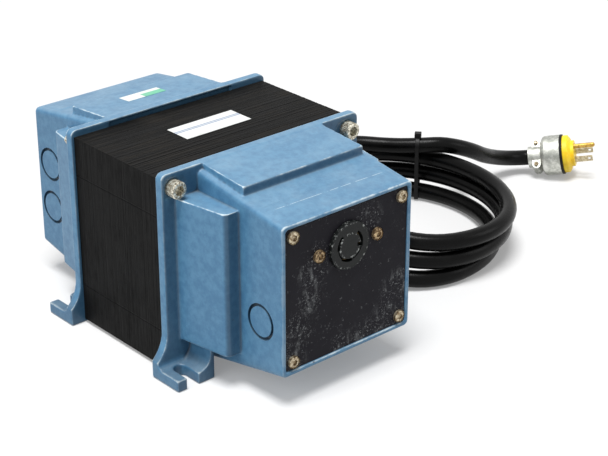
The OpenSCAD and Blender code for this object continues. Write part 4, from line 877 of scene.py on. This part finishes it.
def sheetMesh(name, outline, holes):
    # A flat sheet of iron with its bolt holes, standing on its edge
    shape = bmesh.new()
    loops = [outline] + [[(x + coreStack["hole"] * math.cos(a), z + coreStack["hole"] * math.sin(a))
                          for a in np.radians(np.arange(0, 360, 30))] for x, z in holes]
    for loop in loops:
        ring = [shape.verts.new((x * mm, 0, z * mm)) for x, z in loop]
        for a, b in zip(ring, ring[1:] + ring[:1]):
            shape.edges.new((a, b))
    bmesh.ops.triangle_fill(shape, use_beauty=True, use_dissolve=False, edges=shape.edges)
    pulled = bmesh.ops.extrude_face_region(shape, geom=shape.faces[:] + shape.edges[:])
    moved = [v for v in pulled["geom"] if isinstance(v, bmesh.types.BMVert)]
    bmesh.ops.translate(shape, vec=(0, coreStack["thick"] * mm, 0), verts=moved)
    bmesh.ops.recalc_face_normals(shape, faces=shape.faces)
    mesh = bpy.data.meshes.new(name)
    shape.to_mesh(mesh)
    shape.free()
    return mesh


def joined(name, parts, material):
    # Several objects' meshes in one new object
    shape = bmesh.new()
    for part in parts:
        shape.from_mesh(part.data)
    mesh = bpy.data.meshes.new(name)
    shape.to_mesh(mesh)
    shape.free()
    mesh.polygons.foreach_set("material_index", [0] * len(mesh.polygons))
    for part in parts:
        bpy.data.objects.remove(part)
    return place(name, mesh, material)


def coreSheets():
    c = coreStack
    h, l = c["half"], c["limb"]
    eHigh = [(-h, c["windowLow"] + c["gap"]), (-2 * l, c["windowLow"] + c["gap"]), (-2 * l, c["windowHigh"]),
             (-l, c["windowHigh"]), (-l, c["windowLow"] + c["gap"])]
    eHigh = eHigh + [(-x, z) for x, z in reversed(eHigh)] + [(h, c["top"]), (-h, c["top"])]
    eLow = [(-h, c["windowHigh"] - c["gap"]), (-2 * l, c["windowHigh"] - c["gap"]), (-2 * l, c["windowLow"]),
            (-l, c["windowLow"]), (-l, c["windowHigh"] - c["gap"])]
    eLow = eLow + [(-x, z) for x, z in reversed(eLow)] + [(h, c["bottom"]), (-h, c["bottom"])]
    bar = [(-h, 0), (h, 0), (h, l), (-h, l)]
    rows = {
        "coreESheets": ("core_e_laminations", [(eHigh, c["topBolts"], 3, 0), (eLow, c["lowBolts"], 2, 1)]),
        "coreISheets": ("core_i_laminations", [
            ([(x, z + c["bottom"]) for x, z in bar], c["lowBolts"], 3, 0),
            ([(x, z + c["top"] - l) for x, z in bar], c["topBolts"], 2, 1)])}
    for name, (node, groups) in rows.items():
        parts = []
        for outline, holes, packets, offset in groups:
            one = place(name, sheetMesh(name, outline, holes))
            parts.append(runTree(one, trees["sheets"], {
                "Packets": packets, "Sheets": c["sheets"], "Packet Step": 2 * c["packet"] * mm,
                "Sheet Step": c["step"] * mm, "Start": (c["first"] + offset * c["packet"]) * mm,
                "Unevenness": c["uneven"], "Seed": 30 + offset, "Material": iron}))
        made = joined(name, parts, iron)
        keepPiece(made, node, 20)
        print(name, "has", len(made.data.polygons), "faces")


coreSheets()

# Windings: the CAD solid drawn in by half a wire, and turns of wire on its outside

windings = {"primary_winding": {"name": "primaryWinding", "wire": 1.9, "corner": 7},
            "secondary_winding": {"name": "secondaryWinding", "wire": 2.6, "corner": 12}}


def windingPiece(node, spec, material):
    low, high = (Vector(v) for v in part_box(node))
    made = place(spec["name"], cadMesh(node))
    wire = spec["wire"] * mm
    for v in made.data.vertices:
        for axis in (0, 1):
            if abs(v.co[axis]) > high[axis] * 0.86:
                v.co[axis] *= 1 - wire * 0.5 / high[axis]
    turns = int((high.z - low.z) / wire) - 1
    pitch = (high.z - low.z - wire * 1.1) / max(1, turns - 1)
    runTree(made, trees["turns"], {
        "Width": high.x - low.x - wire * 1.02, "Depth": high.y - low.y - wire * 1.02,
        "Corner": spec["corner"] * mm, "Wire": wire, "Bottom": low.z + wire * 0.55,
        "Turns": turns, "Pitch": pitch, "Material": material})
    made.data.materials.clear()
    made.data.materials.append(material)
    keepPiece(made, node, 50)


for node, spec in windings.items():
    windingPiece(node, spec, copper)
print("windings laid")

# Eased copies of CAD pieces, and materials for the pieces that stay

easedPieces = [
    ("front_cover_plate", "frontCover", 0.5, coverBlack, "black_plate"),
    ("rear_cover_plate", "rearCover", 0.5, coverBlack, "black_plate"),
    ("receptacle_face", "outletFace", 0.45, outletBlack, "black_plastic"),
    ("receptacle_contacts", "outletContacts", 0.15, darkBrass, "brass"),
    ("tie_bolts_lower", "tieBoltsLower", 0.5, oldZinc, "zinc"),
    ("tie_bolt_washers", "tieBoltWashers", 0.3, oldZinc, "zinc"),
    ("tie_bolt_nuts", "tieBoltNuts", 0.5, oldZinc, "zinc"),
    ("gland_body", "glandBody", 0.5, blackPlastic, "black_plastic"),
    ("gland_cap", "glandCap", 0.8, blackPlastic, "black_plastic"),
    ("gland_bushing", "glandBushing", 0.5, gasket, "black_rubber"),
    ("cable_tie", "cableTie", 0.35, tieNylon, "black_plastic"),
    ("plug_sleeve", "plugSleeve", 0.7, sleeveMetal, "plug_metal"),
    ("plug_gasket_ring", "plugGasketRing", 0.3, gasket, "black_rubber"),
    ("plug_body", "plugBody", 0.5, yellowPlastic, "yellow_plastic"),
    ("plug_blades", "plugBlades", 0.35, bladeMetal, "blade_metal"),
    ("plug_ground_pin", "plugGroundPin", 0.2, brass, "brass"),
    ("plug_clamp", "plugClamp", 0.6, sleeveMetal, "plug_metal"),
    ("top_label", "topLabelCard", 0.12, topLabel, "white_label"),
    ("rear_label", "rearLabelCard", 0.12, rearLabel, "green_label")]
for node, name, width, material, slot in easedPieces:
    softCopy(node, name, width, material)

plugScrews = {"Head Radius": 3.8, "Head Height": 2.5, "Dome": 1.1, "Dome Power": 2.6, "Recess Radius": 1.9,
              "Recess Depth": 1.2, "Shank Radius": 2.0, "Shank Length": 16.0, "Knurl": 0.0, "Sides": 32}
plugPlace = {"end": plan["tail"][-1], "tilt": 79, "turn": -54, "roll": -45, "screwX": 11.5, "screwY": -8.1,
             "along": 8.5}


def plugFrame():
    turn = Matrix()
    for key, axis in (("turn", "Z"), ("tilt", "Y"), ("roll", "Z")):
        turn = turn @ Matrix.Rotation(math.radians(plugPlace[key]), 4, axis)
    return Matrix.Translation(plugPlace["end"]) @ turn


onPlug = plugFrame()
spots = [tuple(onPlug @ Vector((x, plugPlace["screwY"], plugPlace["along"])))
         for x in (-plugPlace["screwX"], plugPlace["screwX"])]
facing = (onPlug.to_3x3() @ Matrix.Rotation(math.pi / 2, 3, "X")).to_euler()
screwPiece("plugClampScrews", "plug_clamp_screws", yellowZinc, spots, tuple(facing), 27,
           plugScrews)

dressed = [
    (zinc, ["receptacle_strap", "capacitor_strap", "capacitor_screws"]),
    (fishPaper, ["tie_bolt_sleeves", "layer_insulation", "outer_wrap"]),
    (bobbinNylon, ["bobbin"]), (copperFoil, ["shield_foil"]),
    (blackPlastic, ["receptacle_body", "gland_locknut"]),
    (brass, ["receptacle_terminal_screws", "ground_lug", "capacitor_terminals"]),
    (redWire, ["secondary_leads"]), (brownWire, ["primary_leads"]), (greenWire, ["cord_conductors"]),
    (blueWire, ["capacitor_leads"]), (orangePlastic, ["splice_caps", "surge_suppressor"]),
    (greenMetal, ["ground_screw"]), (canMetal, ["capacitor_can"])]
for material, names in dressed:
    for node in names:
        nodes[node].data.materials.clear()
        nodes[node].data.materials.append(material)
print("all pieces dressed")
